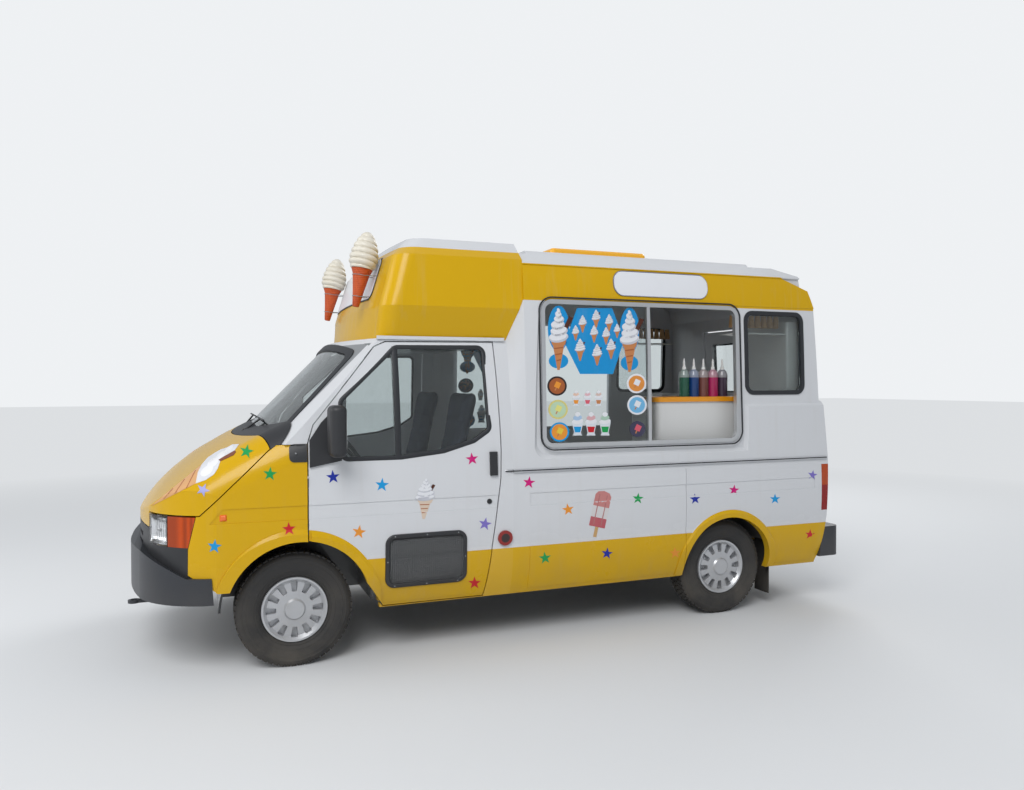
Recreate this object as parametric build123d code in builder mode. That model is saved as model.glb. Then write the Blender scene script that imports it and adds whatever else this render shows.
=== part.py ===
"""Ice cream van: a medium panel van with a moulded ice cream body.

Millimetres. +X points to the rear, -Y is the serving side, +Z is up.
The origin is on the ground, below the middle of the vehicle.
"""
from math import cos, radians, sin
import os

from build123d import *

# Overall sizes
wheelbase = 2815
front_overhang = 870
rear_overhang = 985
length = front_overhang + wheelbase + rear_overhang
front_axle_x = front_overhang - length / 2
rear_axle_x = front_axle_x + wheelbase
tail_x = length / 2
half_width = 950
wall = 40
shell_wall = 30
touch = 0.3

# Heights
sill_z = 285
floor_z = 520
floor_thick = 40
rocker_z = 578
waist_z = 1045
ledge_z = 1430
cab_top_z = 1830
roof_z = 2375
band_top_z = roof_z - 75
band_z = band_top_z - 225
crown_z = roof_z + 57
hatch_low_z = crown_z + 6
luton_roof_z = roof_z + 65

# Wheels
tyre_radius = 318
rim_radius = 180
wheel_y = 795
front_arch_radius = 388
rear_arch_radius = 346
front_arch_x = front_axle_x + 20
rear_arch_x = rear_axle_x + 22
kingpin_y = 650
front_lip_wide = 68
rear_lip_wide = 53
lip_deep = 13

# Stations along the vehicle
door_front_x = front_axle_x + 70
door_rear_x = front_axle_x + 1180
side_front_x = front_axle_x + 1270
shoulder_x = side_front_x + 90
body_rear_x = rear_axle_x + 858

os.makedirs("parts", exist_ok=True)


def save(builder, name):
    """Label a finished sub-part and write it to its own file."""
    builder.part.label = name
    export_step(builder.part, f"parts/{name}.step")


def across(points, near, far, radius=0):
    """A prism across the vehicle: an (x, z) outline between two y values."""
    with BuildPart() as prism:
        with BuildSketch(Plane.XZ.offset(-far)) as outline:
            with BuildLine():
                Polyline(*points, close=True)
            make_face()
            if radius:
                fillet(outline.vertices(), radius)
        extrude(amount=far - near)
    return prism.part


def lengthwise(points, front, rear, radius=0):
    """A prism along the vehicle: a (y, z) outline between two x values."""
    with BuildPart() as prism:
        with BuildSketch(Plane.YZ.offset(front)) as outline:
            with BuildLine():
                Polyline(*points, close=True)
            make_face()
            if radius:
                fillet(outline.vertices(), radius)
        extrude(amount=rear - front)
    return prism.part


def upright(points, low, high, radius=0):
    """A prism standing up: an (x, y) outline between two z values."""
    with BuildPart() as prism:
        with BuildSketch(Plane.XY.offset(low)) as outline:
            with BuildLine():
                Polyline(*points, close=True)
            make_face()
            if radius:
                fillet(outline.vertices(), radius)
        extrude(amount=high - low)
    return prism.part


def block(x0, x1, y0, y1, z0, z1, radius=0):
    """A box by its limits, with its upright edges rounded."""
    return upright([(x0, y0), (x1, y0), (x1, y1), (x0, y1)], z0, z1, radius)


def rod(start, end, radius):
    """A round bar between two points."""
    axis = Vector(*end) - Vector(*start)
    with BuildPart() as bar:
        with BuildSketch(Plane(origin=start, z_dir=axis)):
            Circle(radius)
        extrude(amount=axis.length)
    return bar.part


def turned(plane, profile):
    """A solid turned about a plane's own upright axis, from (radius, height) points."""
    with BuildPart() as body:
        with BuildSketch(Plane(origin=plane.origin, x_dir=plane.x_dir, z_dir=plane.y_dir * -1)):
            with BuildLine():
                Polyline(*profile, close=True)
            make_face()
        revolve(axis=Axis(plane.origin, plane.z_dir))
    return body.part


# Cross sections of the vehicle, as one side's corners and the bulge of each stretch
# Columns: y at the start, z at the start, y half way, z half way
cab_side = [
    (half_width - 70, sill_z, half_width - 22, 420),
    (half_width - 5, 600, half_width + 3, 850),
    (half_width - 8, 1100, half_width - 45, 1480),
    (half_width - 122, cab_top_z, None, None),
]
body_side = cab_side[:1] + [
    (half_width - 5, 600, half_width + 3, 820),
    (half_width - 6, waist_z, half_width - 20, (waist_z + band_z) / 2),
    (half_width - 50, band_z, half_width - 57, (band_z + band_top_z) / 2),
    (half_width - 78, band_top_z, None, None),
]
shoulder_side = body_side[:3] + [(half_width - 50, band_z, None, None)]
window_side = body_side[:2] + [
    (half_width - 26, waist_z, half_width - 33, (waist_z + band_z) / 2),
    (half_width - 54, band_z, half_width - 61, (band_z + band_top_z) / 2),
    (half_width - 82, band_top_z, None, None),
]
roof_edge_y = half_width - 160


def side_line(table, inset, top, bottom):
    """Draw one side of a cross section into the open line."""
    low_y = table[0][0] - inset
    Line((0, bottom), (low_y, bottom))
    if bottom < table[0][1]:
        Line((low_y, bottom), (low_y, table[0][1]))
    for here, there in zip(table, table[1:]):
        start = (here[0] - inset, here[1])
        middle = (here[2] - inset, here[3])
        ThreePointArc(start, middle, (there[0] - inset, there[1]))
    last = (table[-1][0] - inset, table[-1][1])
    for point in top:
        Line(last, point)
        last = point
    Line(last, (0, last[1]))
    Line((0, last[1]), (0, bottom))


def hull(table, inset, top, bottom, front, rear):
    """The body's outer form along its length, drawn in by an inset."""
    with BuildPart() as form:
        with BuildSketch(Plane.YZ.offset(front)):
            with BuildLine():
                side_line(table, inset, top, bottom)
            make_face()
            mirror(about=Plane.YZ)
        extrude(amount=rear - front)
    return form.part


def cab_hull(inset, bottom=sill_z, rear=side_front_x):
    """The cab from nose to B-pillar."""
    return hull(cab_side, inset, [], bottom, -tail_x, rear)


def side_hull(table, inset, bottom=sill_z):
    """The serving body behind its shoulder, with its sloped roof edge."""
    top = [(roof_edge_y - inset, roof_z - inset)]
    return hull(table, inset, top, bottom, shoulder_x, tail_x)


def shoulder_form(inset, bottom, rise):
    """The stretch where the cab's section widens into the serving body's."""
    with BuildPart() as form:
        for x, table in ((side_front_x, cab_side), (shoulder_x, shoulder_side)):
            top = [(table[-1][0] - inset, table[-1][1] + rise)] if rise else []
            with BuildSketch(Plane.YZ.offset(x)):
                with BuildLine():
                    side_line(table, inset, top, bottom)
                make_face()
                mirror(about=Plane.YZ)
        loft(ruled=True)
    return form.part


# Windscreen: a curved sheet whose straight lines run up its slope
screen_foot = Vector(front_axle_x - 205, 0, 1290)
screen_slope = 45.5
screen_length = 742
screen_half = half_width - 90
screen_bow = 125
slope = Vector(cos(radians(screen_slope)), 0, sin(radians(screen_slope)))
outward = Vector(-sin(radians(screen_slope)), 0, cos(radians(screen_slope)))


def screen_slab(outer, inner, below=420, above=60):
    """The layer of the screen between two depths under its outer face."""
    start = screen_foot - slope * below
    plane = Plane(origin=start, x_dir=(0, 1, 0), z_dir=slope)
    side = 1 if (plane.y_dir - outward).length < 1 else -1
    wide = screen_half + 140
    drop = screen_bow * (wide / screen_half) ** 2
    with BuildPart() as slab:
        with BuildSketch(plane):
            with BuildLine():
                ThreePointArc((-wide, side * (-drop - outer)), (0, side * -outer), (wide, side * (-drop - outer)))
                Line((wide, side * (-drop - outer)), (wide, side * (-drop - inner)))
                ThreePointArc((wide, side * (-drop - inner)), (0, side * -inner), (-wide, side * (-drop - inner)))
                Line((-wide, side * (-drop - inner)), (-wide, side * (-drop - outer)))
            make_face()
        extrude(amount=screen_length + below + above)
    return slab.part


def screen_window(margin):
    """The windscreen's outline, pushed through the cab along the screen's outward line."""
    middle = screen_foot + slope * (screen_length / 2) - outward * 400
    plane = Plane(origin=middle, x_dir=(0, 1, 0), z_dir=outward)
    side = 1 if (plane.y_dir - slope).length < 1 else -1
    low = -side * (screen_length / 2 - margin)
    high = side * (screen_length / 2 - margin)
    with BuildPart() as opening:
        with BuildSketch(plane) as outline:
            with BuildLine():
                Polyline((-screen_half + 60 + margin, low), (screen_half - 60 - margin, low),
                         (screen_half - 135 - margin, high), (-screen_half + 135 + margin, high), close=True)
            make_face()
            fillet(outline.vertices(), 70)
        extrude(amount=700)
    return opening.part


# Nose: lofted between sections that widen and rise towards the screen
# Columns: x, half width, height at the middle, shoulder radius
nose_stations = [
    (-tail_x - 20, half_width - 45, 700, 130),
    (front_axle_x - 740, half_width - 35, 925, 170),
    (front_axle_x - 480, half_width - 20, 1143, 205),
    (front_axle_x - 200, half_width - 8, 1300, 222),
    (front_axle_x + 100, half_width - 1, 1440, 240),
]


def nose_form(inset, top_inset):
    """The outer form of bonnet and wings."""
    with BuildPart() as form:
        for x, half, top, shoulder in nose_stations:
            side = half - inset
            high = top - top_inset
            radius = shoulder - inset / 2
            with BuildSketch(Plane.YZ.offset(x)):
                with BuildLine():
                    crown = 28
                    Line((0, 200), (side, 200))
                    Line((side, 200), (side, high - crown - radius))
                    corner = radius * (1 - cos(radians(45)))
                    ThreePointArc((side, high - crown - radius), (side - corner, high - crown - corner),
                                  (side - radius, high - crown))
                    ThreePointArc((side - radius, high - crown), (0, high), (radius - side, high - crown))
                    ThreePointArc((radius - side, high - crown), (corner - side, high - crown - corner),
                                  (-side, high - crown - radius))
                    Line((-side, high - crown - radius), (-side, 200))
                    Line((-side, 200), (0, 200))
                make_face()
        loft()
    return form.part


def nose_plan(inset, reach=0):
    """The nose seen from above: a bowed front that sweeps back at the corners."""
    tip = -tail_x + 52 - reach + inset
    with BuildPart() as plan:
        with BuildSketch(Plane.XY.offset(150)):
            with BuildLine():
                Line((front_axle_x + 200, 0), (tip, 0))
                ThreePointArc((tip, 0), (tip + 18, 330), (tip + 75, 620 - inset * 0.3))
                ThreePointArc((tip + 75, 620 - inset * 0.3), (tip + 180, 800 - inset * 0.8), (tip + 420, 935 - inset))
                Line((tip + 420, 935 - inset), (front_axle_x + 200, 960 - inset))
                Line((front_axle_x + 200, 960 - inset), (front_axle_x + 200, 0))
            make_face()
            mirror(about=Plane.XZ)
        extrude(amount=1500)
    return plan.part




def arch(x, radius, half=1200):
    """A round bar across the vehicle that opens a wheel arch."""
    return rod((x, -half, tyre_radius), (x, half, tyre_radius), radius)


front_arch = arch(front_arch_x, front_arch_radius)
rear_arch = arch(rear_arch_x, rear_arch_radius)

# Shut lines
lamp_low_z = 700
lamp_top_z = 862
bonnet_side = [
    (front_axle_x - 905, lamp_top_z + 4),
    (front_axle_x - 487, lamp_top_z + 4),
    (front_axle_x - 379, 969),
    (front_axle_x - 140, 1198),
    (front_axle_x - 95, 1232),
]
door_outline = [
    (door_front_x, 470),
    (front_axle_x + 395, 440),
    (front_axle_x + 490, 296),
    (front_axle_x + 1092, 296),
    (door_rear_x + 8, 1000),
    (door_rear_x + 14, 1170),
    (door_rear_x - 2, cab_top_z - 16),
    (front_axle_x + 520, cab_top_z - 24),
    (front_axle_x + 455, cab_top_z - 52),
    (door_front_x + 30, 1338),
    (door_front_x, 1240),
]


def grown(points, gap, near, far, radius=0):
    """A prism across the vehicle whose outline is grown by a gap."""
    with BuildPart() as prism:
        with BuildSketch(Plane.XZ.offset(-far)) as outline:
            with BuildLine():
                Polyline(*points, close=True)
            make_face()
            if radius:
                fillet(outline.vertices(), radius)
            offset(amount=gap, kind=Kind.INTERSECTION if not radius else Kind.ARC)
        extrude(amount=far - near)
    return prism.part



def drum(x, z, radius, near, far):
    """A round bar across the vehicle between two y values."""
    return rod((x, near, z), (x, far, z), radius)


def both_sides(near, far):
    """The two y ranges of a mirrored pair."""
    return [(-far, -near), (near, far)]


# Rear end in side view, from the bumper to the roof
lower_tail = [
    (body_rear_x - 68, 150),
    (body_rear_x - 68, 300),
    (body_rear_x - 12, 620),
    (body_rear_x, waist_z),
    (body_rear_x - 35, ledge_z),
]
upper_tail = [
    (body_rear_x - 62, ledge_z + 14),
    (body_rear_x - 92, band_z + 20),
    (body_rear_x - 138, band_top_z - 87),
    (body_rear_x - 365, band_top_z),
    (body_rear_x - 365, roof_z + 130),
]
roof_lip = [
    (body_rear_x - 375, band_top_z - 12),
    (body_rear_x - 184, band_top_z - 75),
    (body_rear_x - 203, band_top_z + 16),
    (body_rear_x - 378, roof_z),
]


def body_form(inset, bottom=sill_z, rise=0):
    """The whole serving body, closed at its roof and tail."""
    outline = [(side_front_x - 20, 100)] + [(x - inset, z) for x, z in lower_tail + upper_tail]
    outline.append((side_front_x - 20, roof_z + 130))
    whole = side_hull(body_side, inset, bottom) + shoulder_form(inset, bottom, rise)
    return whole & across(outline, -1100, 1100)


def roof_cap():
    """The white roof moulding, which overhangs the band and the tail."""
    edge = half_width - 72
    ring = [(edge, band_top_z - 4), (edge, band_top_z + 4), (roof_edge_y + 4, roof_z)]
    ring = ring + [(-y, z) for y, z in reversed(ring)]
    outline = [(shoulder_x, band_top_z - 6)] + roof_lip + [(shoulder_x, roof_z)]
    return lengthwise(ring, shoulder_x, tail_x) & across(outline, -1000, 1000)


def tail_lip():
    """The part of the roof moulding that hangs over the sloped tail."""
    edge = half_width - 86
    ring = [(edge, band_top_z - 90), (edge, band_top_z), (-edge, band_top_z), (-edge, band_top_z - 90)]
    return lengthwise(ring, body_rear_x - 380, tail_x) & across(roof_lip, -1000, 1000)


def skin(outer, inner, table=body_side):
    """A layer that follows the serving body's sides."""
    return side_hull(table, outer) - side_hull(table, inner)


def cab_skin(outer, inner):
    """A layer that follows the cab's sides."""
    return cab_hull(outer) - cab_hull(inner, bottom=sill_z - 50)


def nose_skin(outer, inner):
    """A layer that follows the nose."""
    return (nose_form(outer, outer) & nose_plan(outer)) - (nose_form(inner, inner) & nose_plan(inner))


# Wheel arch lips: a flared ring that follows whatever panel carries it
lip_flat = 22
lip_base_y = half_width - 110


def arch_lip(x, radius, wide):
    """A flared ring on each side of the vehicle, deeper than any panel it will be cut from."""
    crest = half_width + lip_deep + 6 - lip_base_y
    foot = half_width - 2 - lip_base_y
    profile = [(radius, 0), (radius + wide, 0), (radius + wide, foot), (radius + lip_flat, crest), (radius, crest)]
    ring = turned(Plane(origin=(x, -lip_base_y, tyre_radius), x_dir=(1, 0, 0), z_dir=(0, -1, 0)), profile)
    return ring + turned(Plane(origin=(x, lip_base_y, tyre_radius), x_dir=(1, 0, 0), z_dir=(0, 1, 0)), profile)


nose_shell = (nose_form(0, 0) & nose_plan(0)) - (nose_form(wall, 30) & nose_plan(wall))
cab_ring = cab_skin(0, wall)
front_lip = arch_lip(front_arch_x, front_arch_radius, front_lip_wide)
rear_lip = arch_lip(rear_arch_x, rear_arch_radius, rear_lip_wide)
body_shell = (body_form(0) + roof_cap() + tail_lip()) - body_form(wall, bottom=sill_z - 50, rise=90)
behind_screen = screen_slab(0, 2600, above=2200)

# Floor, rails and wheel boxes
rail_y = 560
rail_wide = 70
rail_low = 425
rail_top = floor_z - floor_thick
front_rail_y = 420
box_wall = 12
rear_box_inner = 640
front_box_inner = 488
box_outer = half_width - wall - 12
jack_pad_x = front_axle_x + 800
jack_pad_half = 30
jack_pad_deep = 15
with BuildPart() as floor_pan:
    add(block(shoulder_x, body_rear_x - 82, -1000, 1000, floor_z - floor_thick, floor_z) & side_hull(body_side, wall + touch))
    add(block(side_front_x, shoulder_x, -1000, 1000, floor_z - floor_thick, floor_z) & shoulder_form(wall + touch, sill_z, 0))
    add(block(door_rear_x + 30, side_front_x, -1000, 1000, floor_z - floor_thick, floor_z) & cab_hull(wall + touch))
    add(block(front_axle_x + 470, door_rear_x + 30, -860, 860, floor_z - floor_thick, floor_z))
    for near, far in both_sides(rail_y - rail_wide / 2, rail_y + rail_wide / 2):
        add(block(front_axle_x + 430, body_rear_x - 130, near, far, rail_low, rail_top))
    for near, far in both_sides(front_rail_y - rail_wide / 2, front_rail_y + rail_wide / 2):
        add(block(front_axle_x - 700, front_axle_x + 560, near, far, rail_low, rail_top))
    for near, far in both_sides(front_rail_y - rail_wide / 2, rail_y):
        add(block(front_axle_x + 440, front_axle_x + 520, near, far, rail_low, rail_top))
    for near, far in both_sides(rear_box_inner, box_outer):
        add(drum(rear_arch_x, tyre_radius, rear_arch_radius + 30, near, far))
    for near, far in both_sides(rear_box_inner + box_wall, half_width):
        add(drum(rear_arch_x, tyre_radius, rear_arch_radius + 30 - box_wall, near, far), mode=Mode.SUBTRACT)
    for near, far in both_sides(rail_y - jack_pad_half, rail_y + jack_pad_half):
        add(block(jack_pad_x - jack_pad_half, jack_pad_x + jack_pad_half, near, far, rail_low - jack_pad_deep, rail_low))
    for near, far in both_sides(rail_y + rail_wide / 2, half_width):
        add(block(rear_arch_x - 500, rear_arch_x + 500, near, far, -200, floor_z - floor_thick), mode=Mode.SUBTRACT)
save(floor_pan, "floor_pan")

# Cab frame: pillars, screen surround, roof, sills, bulkhead and front wheel boxes
door_gap = 7
hinge_x = door_front_x - door_gap / 2
hinge_y = half_width
hinge_rows = (570, 830)
cab_floor_x = front_axle_x + 470
sill_near = 770
sill_far = 834
gutter_y = cab_side[-1][0] + 4
with BuildPart() as cab_frame:
    add(cab_ring & behind_screen)
    add(block(-tail_x, door_front_x + 6, -1000, 1000, 0, 1236), mode=Mode.SUBTRACT)
    add(block(-tail_x, cab_floor_x, -1000, 1000, 0, 470), mode=Mode.SUBTRACT)
    add(grown(door_outline, door_gap, -1100, 1100), mode=Mode.SUBTRACT)
    add((screen_slab(0, wall) & cab_hull(0)) & block(-tail_x, 0, -1000, 1000, 1236, cab_top_z))
    add((cab_hull(0) & behind_screen) & block(-tail_x, side_front_x, -1000, 1000, cab_top_z - 28, cab_top_z))
    add(screen_window(18), mode=Mode.SUBTRACT)
    add(grown(door_outline, door_gap, -1100, -(cab_side[-1][0] - 60)), mode=Mode.SUBTRACT)
    add(grown(door_outline, door_gap, cab_side[-1][0] - 60, 1100), mode=Mode.SUBTRACT)
    for near, far in both_sides(sill_near, sill_far):
        add(block(cab_floor_x, side_front_x, near, far, 310, floor_z - floor_thick))
    for near, far in both_sides(front_box_inner, 846):
        add(drum(front_arch_x, tyre_radius, front_arch_radius + 30, near, far))
    add(block(front_axle_x + 60, front_axle_x + 100, -846, 846, floor_z - floor_thick, 1236))
    add(block(front_axle_x + 100, cab_floor_x, -846, 846, floor_z - floor_thick, floor_z))
    for near, far in both_sides(front_box_inner + box_wall, 1000):
        add(drum(front_arch_x, tyre_radius, front_arch_radius + 30 - box_wall, near, far), mode=Mode.SUBTRACT)
    for near, far in both_sides(front_box_inner, 1000):
        add(block(front_axle_x - 460, cab_floor_x, near, far, -200, 330), mode=Mode.SUBTRACT)
    for side in (-1, 1):
        for z in hinge_rows:
            near, far = sorted((side * 840, side * hinge_y))
            add(block(hinge_x - 3, hinge_x + 3, near, far, z + 170, z + 230))
            add(rod((hinge_x, side * hinge_y, z + 170), (hinge_x, side * hinge_y, z + 230), 3.2))
    for near, far in both_sides(gutter_y - 8, gutter_y + 12):
        add(block(front_axle_x + 470, side_front_x - 16, near, far, cab_top_z - 6, cab_top_z - touch))
    for near, far in both_sides(gutter_y + 5, gutter_y + 12):
        add(block(front_axle_x + 470, side_front_x - 16, near, far, cab_top_z - 6, cab_top_z + 14))
save(cab_frame, "cab_frame")

# Wings
wing_outline = [
    (door_front_x - door_gap, 460),
    (door_front_x - door_gap, 1236),
    (bonnet_side[4][0], bonnet_side[4][1]),
    (bonnet_side[3][0], bonnet_side[3][1]),
    (bonnet_side[2][0], bonnet_side[2][1]),
    (bonnet_side[1][0], bonnet_side[1][1]),
    (front_axle_x - 505, lamp_top_z + 4),
    (front_axle_x - 545, lamp_low_z - 8),
    (front_axle_x - 547, 556),
    (front_axle_x - 400, 460),
]
swage_deep = 4
swage_low = 826
swage_high = 902
swage = [(front_axle_x - 440, swage_low), (body_rear_x - 123, swage_low), (body_rear_x - 123, swage_high),
         (front_axle_x - 375, swage_high)]
with BuildPart() as wings:
    add(nose_shell & across(wing_outline, -1000, 1000))
    add(block(-tail_x, tail_x, -690, 690, 0, 2000), mode=Mode.SUBTRACT)
    add(front_arch, mode=Mode.SUBTRACT)
    add(nose_skin(-lip_deep, 10) & front_lip & across(wing_outline, -1100, 1100))
    add(nose_skin(-1, swage_deep) & across(swage, -1000, 1000), mode=Mode.SUBTRACT)
save(wings, "wings")

# Bonnet
bonnet_gap = 6
bonnet_low_z = 786
bonnet_edge_x = front_axle_x - 292
bonnet_edge_bow = 200
bonnet_outline = [
    (-tail_x, bonnet_low_z),
    (front_axle_x - 700, bonnet_low_z),
    (front_axle_x - 640, lamp_top_z + 4),
] + bonnet_side[1:] + [(front_axle_x - 50, bonnet_side[-1][1]), (front_axle_x - 50, 1500), (-tail_x, 1500)]


def ahead_of_screen(shift):
    """The space in front of the bonnet's bowed rear edge."""
    with BuildPart() as space:
        with BuildSketch(Plane.XY.offset(400)):
            with BuildLine():
                side_x = bonnet_edge_x + bonnet_edge_bow + shift
                ThreePointArc((side_x, -1000), (bonnet_edge_x + shift, 0), (side_x, 1000))
                Line((side_x, 1000), (-tail_x - 10, 1000))
                Line((-tail_x - 10, 1000), (-tail_x - 10, -1000))
                Line((-tail_x - 10, -1000), (side_x, -1000))
            make_face()
        extrude(amount=1300)
    return space.part


with BuildPart() as bonnet:
    add(nose_shell & across(bonnet_outline, -1000, 1000))
    add(grown(wing_outline, bonnet_gap, -1000, 1000), mode=Mode.SUBTRACT)
    for near, far in both_sides(612, 1000):
        add(block(-tail_x, front_axle_x - 420, near, far, 0, lamp_top_z + 4 + bonnet_gap), mode=Mode.SUBTRACT)
    add(ahead_of_screen(0), mode=Mode.INTERSECT)
save(bonnet, "bonnet")

# Scuttle with the two wipers
wiper_lift = 14
wiper_half = 250
with BuildPart() as scuttle:
    add(nose_shell & block(-tail_x, front_axle_x + 40, -1000, 1000, 1100, 1500))
    add(ahead_of_screen(bonnet_gap), mode=Mode.SUBTRACT)
    add(screen_slab(-6.3, 2600, below=700, above=2200), mode=Mode.SUBTRACT)
    add(grown(wing_outline, 2, -1000, 1000), mode=Mode.SUBTRACT)
    for middle in (-330, 330):
        foot = screen_foot - slope * 28 + outward * wiper_lift
        pivot = Vector(foot.X, middle + 150, foot.Z)
        tip = Vector(0, middle, 0) + screen_foot + slope * 95 + outward * (wiper_lift + 2)
        fall = screen_bow * (middle / screen_half) ** 2
        tip = tip - outward * fall
        pivot = pivot - outward * screen_bow * ((middle + 150) / screen_half) ** 2
        add(rod(pivot - outward * 40, pivot + outward * 8, 14))
        add(rod(pivot, tip, 6))
        add(rod(tip - Vector(0, wiper_half, 0), tip + Vector(0, wiper_half, 0), 5))
    add(cab_frame.part, mode=Mode.SUBTRACT)
save(scuttle, "scuttle")

# Black front panel with its grille slots
with BuildPart() as front_panel:
    add(nose_shell & block(-tail_x, front_axle_x - 547.3, -1000, 1000, 545, lamp_low_z - touch))
    add(nose_shell & block(-tail_x, front_axle_x - 600, -614, 614, 600, bonnet_low_z - bonnet_gap))
    for near, far in both_sides(470, 510):
        add(nose_shell & block(-tail_x, front_axle_x - 600, near, far, 700, bonnet_low_z - touch))
    for row in range(3):
        low = 600 + row * 52
        add(block(-tail_x - 10, front_axle_x - 650, -420, 420, low, low + 26), mode=Mode.SUBTRACT)
save(front_panel, "front_panel")

# Headlamps, and the amber and red lamps
lamp_deep = (nose_form(0, 0) & nose_plan(0)) - (nose_form(70, 70) & nose_plan(70))
with BuildPart() as headlamps:
    for near, far in both_sides(618, 788):
        add(lamp_deep & block(-tail_x, front_axle_x - 480, near, far, lamp_low_z, lamp_top_z))
save(headlamps, "headlamps")

tail_lamp_low = 667
tail_lamp_top = 992
with BuildPart() as signal_lamps:
    for near, far in both_sides(791, 1000):
        add(lamp_deep & block(-tail_x, front_axle_x - 490, near, far, lamp_low_z, lamp_top_z))
    add(grown(wing_outline, 3, -1000, 1000), mode=Mode.SUBTRACT)
    for near, far in both_sides(790, 1000):
        add(body_form(0) & block(body_rear_x - 60, tail_x, near, far, tail_lamp_low, tail_lamp_top))
    for near, far in both_sides(800, 900):
        add(block(body_rear_x - 40, body_rear_x + 4, near, far, tail_lamp_low + 12, tail_lamp_top - 12))
save(signal_lamps, "signal_lamps")

# Front bumper with its towing eye
bumper_outline = [
    (-tail_x - 20, 399),
    (-tail_x - 20, 640),
    (-tail_x + 40, 662),
    (front_axle_x - 790, 662),
    (front_axle_x - 553, 540),
    (front_axle_x - 430, 540),
    (front_axle_x - 420, 399),
]
tow_x = front_axle_x - 838
tow_y = -400
tow_z = 323
with BuildPart() as front_bumper:
    add(nose_plan(0, 52) - nose_plan(-touch))
    add(across(bumper_outline, -1000, 1000), mode=Mode.INTERSECT)
    with BuildSketch(Plane.XY.offset(tow_z)):
        with Locations((tow_x, tow_y)):
            Circle(32)
            Rectangle(180, 40, align=(Align.MIN, Align.CENTER))
            Circle(16, mode=Mode.SUBTRACT)
    extrude(amount=16)
    add(block(tow_x + 142, tow_x + 176, tow_y - 20, tow_y + 20, tow_z, rail_low - touch))
save(front_bumper, "front_bumper")

# Lower body: the steel sides and the tail below the belt
rear_door_half = 360
rear_door_low = 560
rear_door_top = band_z - 85
rear_gap = 10
rear_hinge_tilt = 3.24
rear_hinge_rows = (760, 1350)
rear_hinge_y = rear_door_half + rear_gap / 2
quarter_x = front_axle_x + 2490


def rear_hinge(z):
    """A hinge barrel on the rear door's axis, with its leaf on the body."""
    lean = Vector(-sin(radians(rear_hinge_tilt)), 0, cos(radians(rear_hinge_tilt)))
    middle = Vector(body_rear_x, rear_hinge_y, waist_z) + lean * (z - waist_z)
    with BuildPart() as hinge:
        add(rod(middle - lean * 35, middle + lean * 35, rear_gap / 2 - 0.4))
        add(block(middle.X - 60, middle.X + 2, rear_hinge_y, rear_hinge_y + rear_gap / 2, z - 30, z + 30))
    return hinge.part


def rear_strap(z):
    """The door's half of a hinge: a strap out to the barrel."""
    lean = Vector(-sin(radians(rear_hinge_tilt)), 0, cos(radians(rear_hinge_tilt)))
    middle = Vector(body_rear_x, rear_hinge_y, waist_z) + lean * (z - waist_z)
    near = rear_door_half - 120
    return block(middle.X - 50, middle.X + 4, near, rear_door_half, z - 30, z + 30) - body_form(20)


with BuildPart() as lower_body:
    add(body_shell & block(side_front_x, tail_x, -1000, 1000, 200, waist_z))
    add(rear_arch, mode=Mode.SUBTRACT)
    doorway = rear_door_half + rear_gap
    add(block(body_rear_x - 200, tail_x, -doorway, doorway, rear_door_low - rear_gap, waist_z), mode=Mode.SUBTRACT)
    for near, far in both_sides(788, 1000):
        add(block(body_rear_x - 62, tail_x, near, far, tail_lamp_low - touch, tail_lamp_top + touch), mode=Mode.SUBTRACT)
    add(rear_hinge(rear_hinge_rows[0]))
    rocker = skin(-4, 10) & block(shoulder_x + 20, body_rear_x - 130, -1100, 1100, sill_z + 30, rocker_z)
    add(rocker - arch(rear_arch_x, rear_arch_radius))
    add((skin(-lip_deep, 10) & rear_lip) & block(shoulder_x, tail_x, -1100, 1100, sill_z + 8, waist_z))
    swage_side = across(swage, -1100, 1100) & block(shoulder_x + 20, tail_x, -1100, 1100, 0, waist_z)
    add(skin(-1, swage_deep) & swage_side, mode=Mode.SUBTRACT)
    for near, far in both_sides(half_width - 30, 1100):
        add(block(quarter_x - 1.5, quarter_x + 1.5, near, far, sill_z - 10, waist_z - 40), mode=Mode.SUBTRACT)
save(lower_body, "lower_body")

# Windows of the serving body: x0, x1, z0, z1, corner radius
serving = (side_front_x + 202, body_rear_x - 743, waist_z + 125, band_z + 10, 75)
rear_side = (body_rear_x - 693, body_rear_x - 189, ledge_z + 55, band_z - 15, 70)


def window(size, grow, near, far):
    """A rounded window's prism, grown by a margin."""
    x0, x1, z0, z1, radius = size
    points = [(x0 - grow, z0 - grow), (x1 + grow, z0 - grow), (x1 + grow, z1 + grow), (x0 - grow, z1 + grow)]
    return across(points, near, far, radius + grow)


def recess_outline(grow):
    """The edge of the moulded recess that holds the windows of one side."""
    return [
        (serving[0] - 18 - grow, serving[2] - 24 - grow),
        (serving[1] + 16 + grow, serving[2] - 24 - grow),
        (serving[1] + 38 + grow, ledge_z + 10 - grow),
        (tail_x + grow, ledge_z + 10 - grow),
        (tail_x + grow, band_z + 25 + grow),
        (serving[0] - 18 - grow, band_z + 25 + grow),
    ]


def recess(side):
    """The recess's slanted cutter, from the panel's face inwards."""
    with BuildPart() as cutter:
        for y, grow in ((half_width + 30, 84), (half_width - 60, -20)):
            plane = Plane(origin=(0, side * y, 0), x_dir=(1, 0, 0), z_dir=(0, -1, 0))
            with BuildSketch(plane) as outline:
                with BuildLine():
                    Polyline(*recess_outline(grow), close=True)
                make_face()
                fillet(outline.vertices().sort_by(Axis.X)[:2], 80)
        loft(ruled=True)
    return cutter.part


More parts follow.
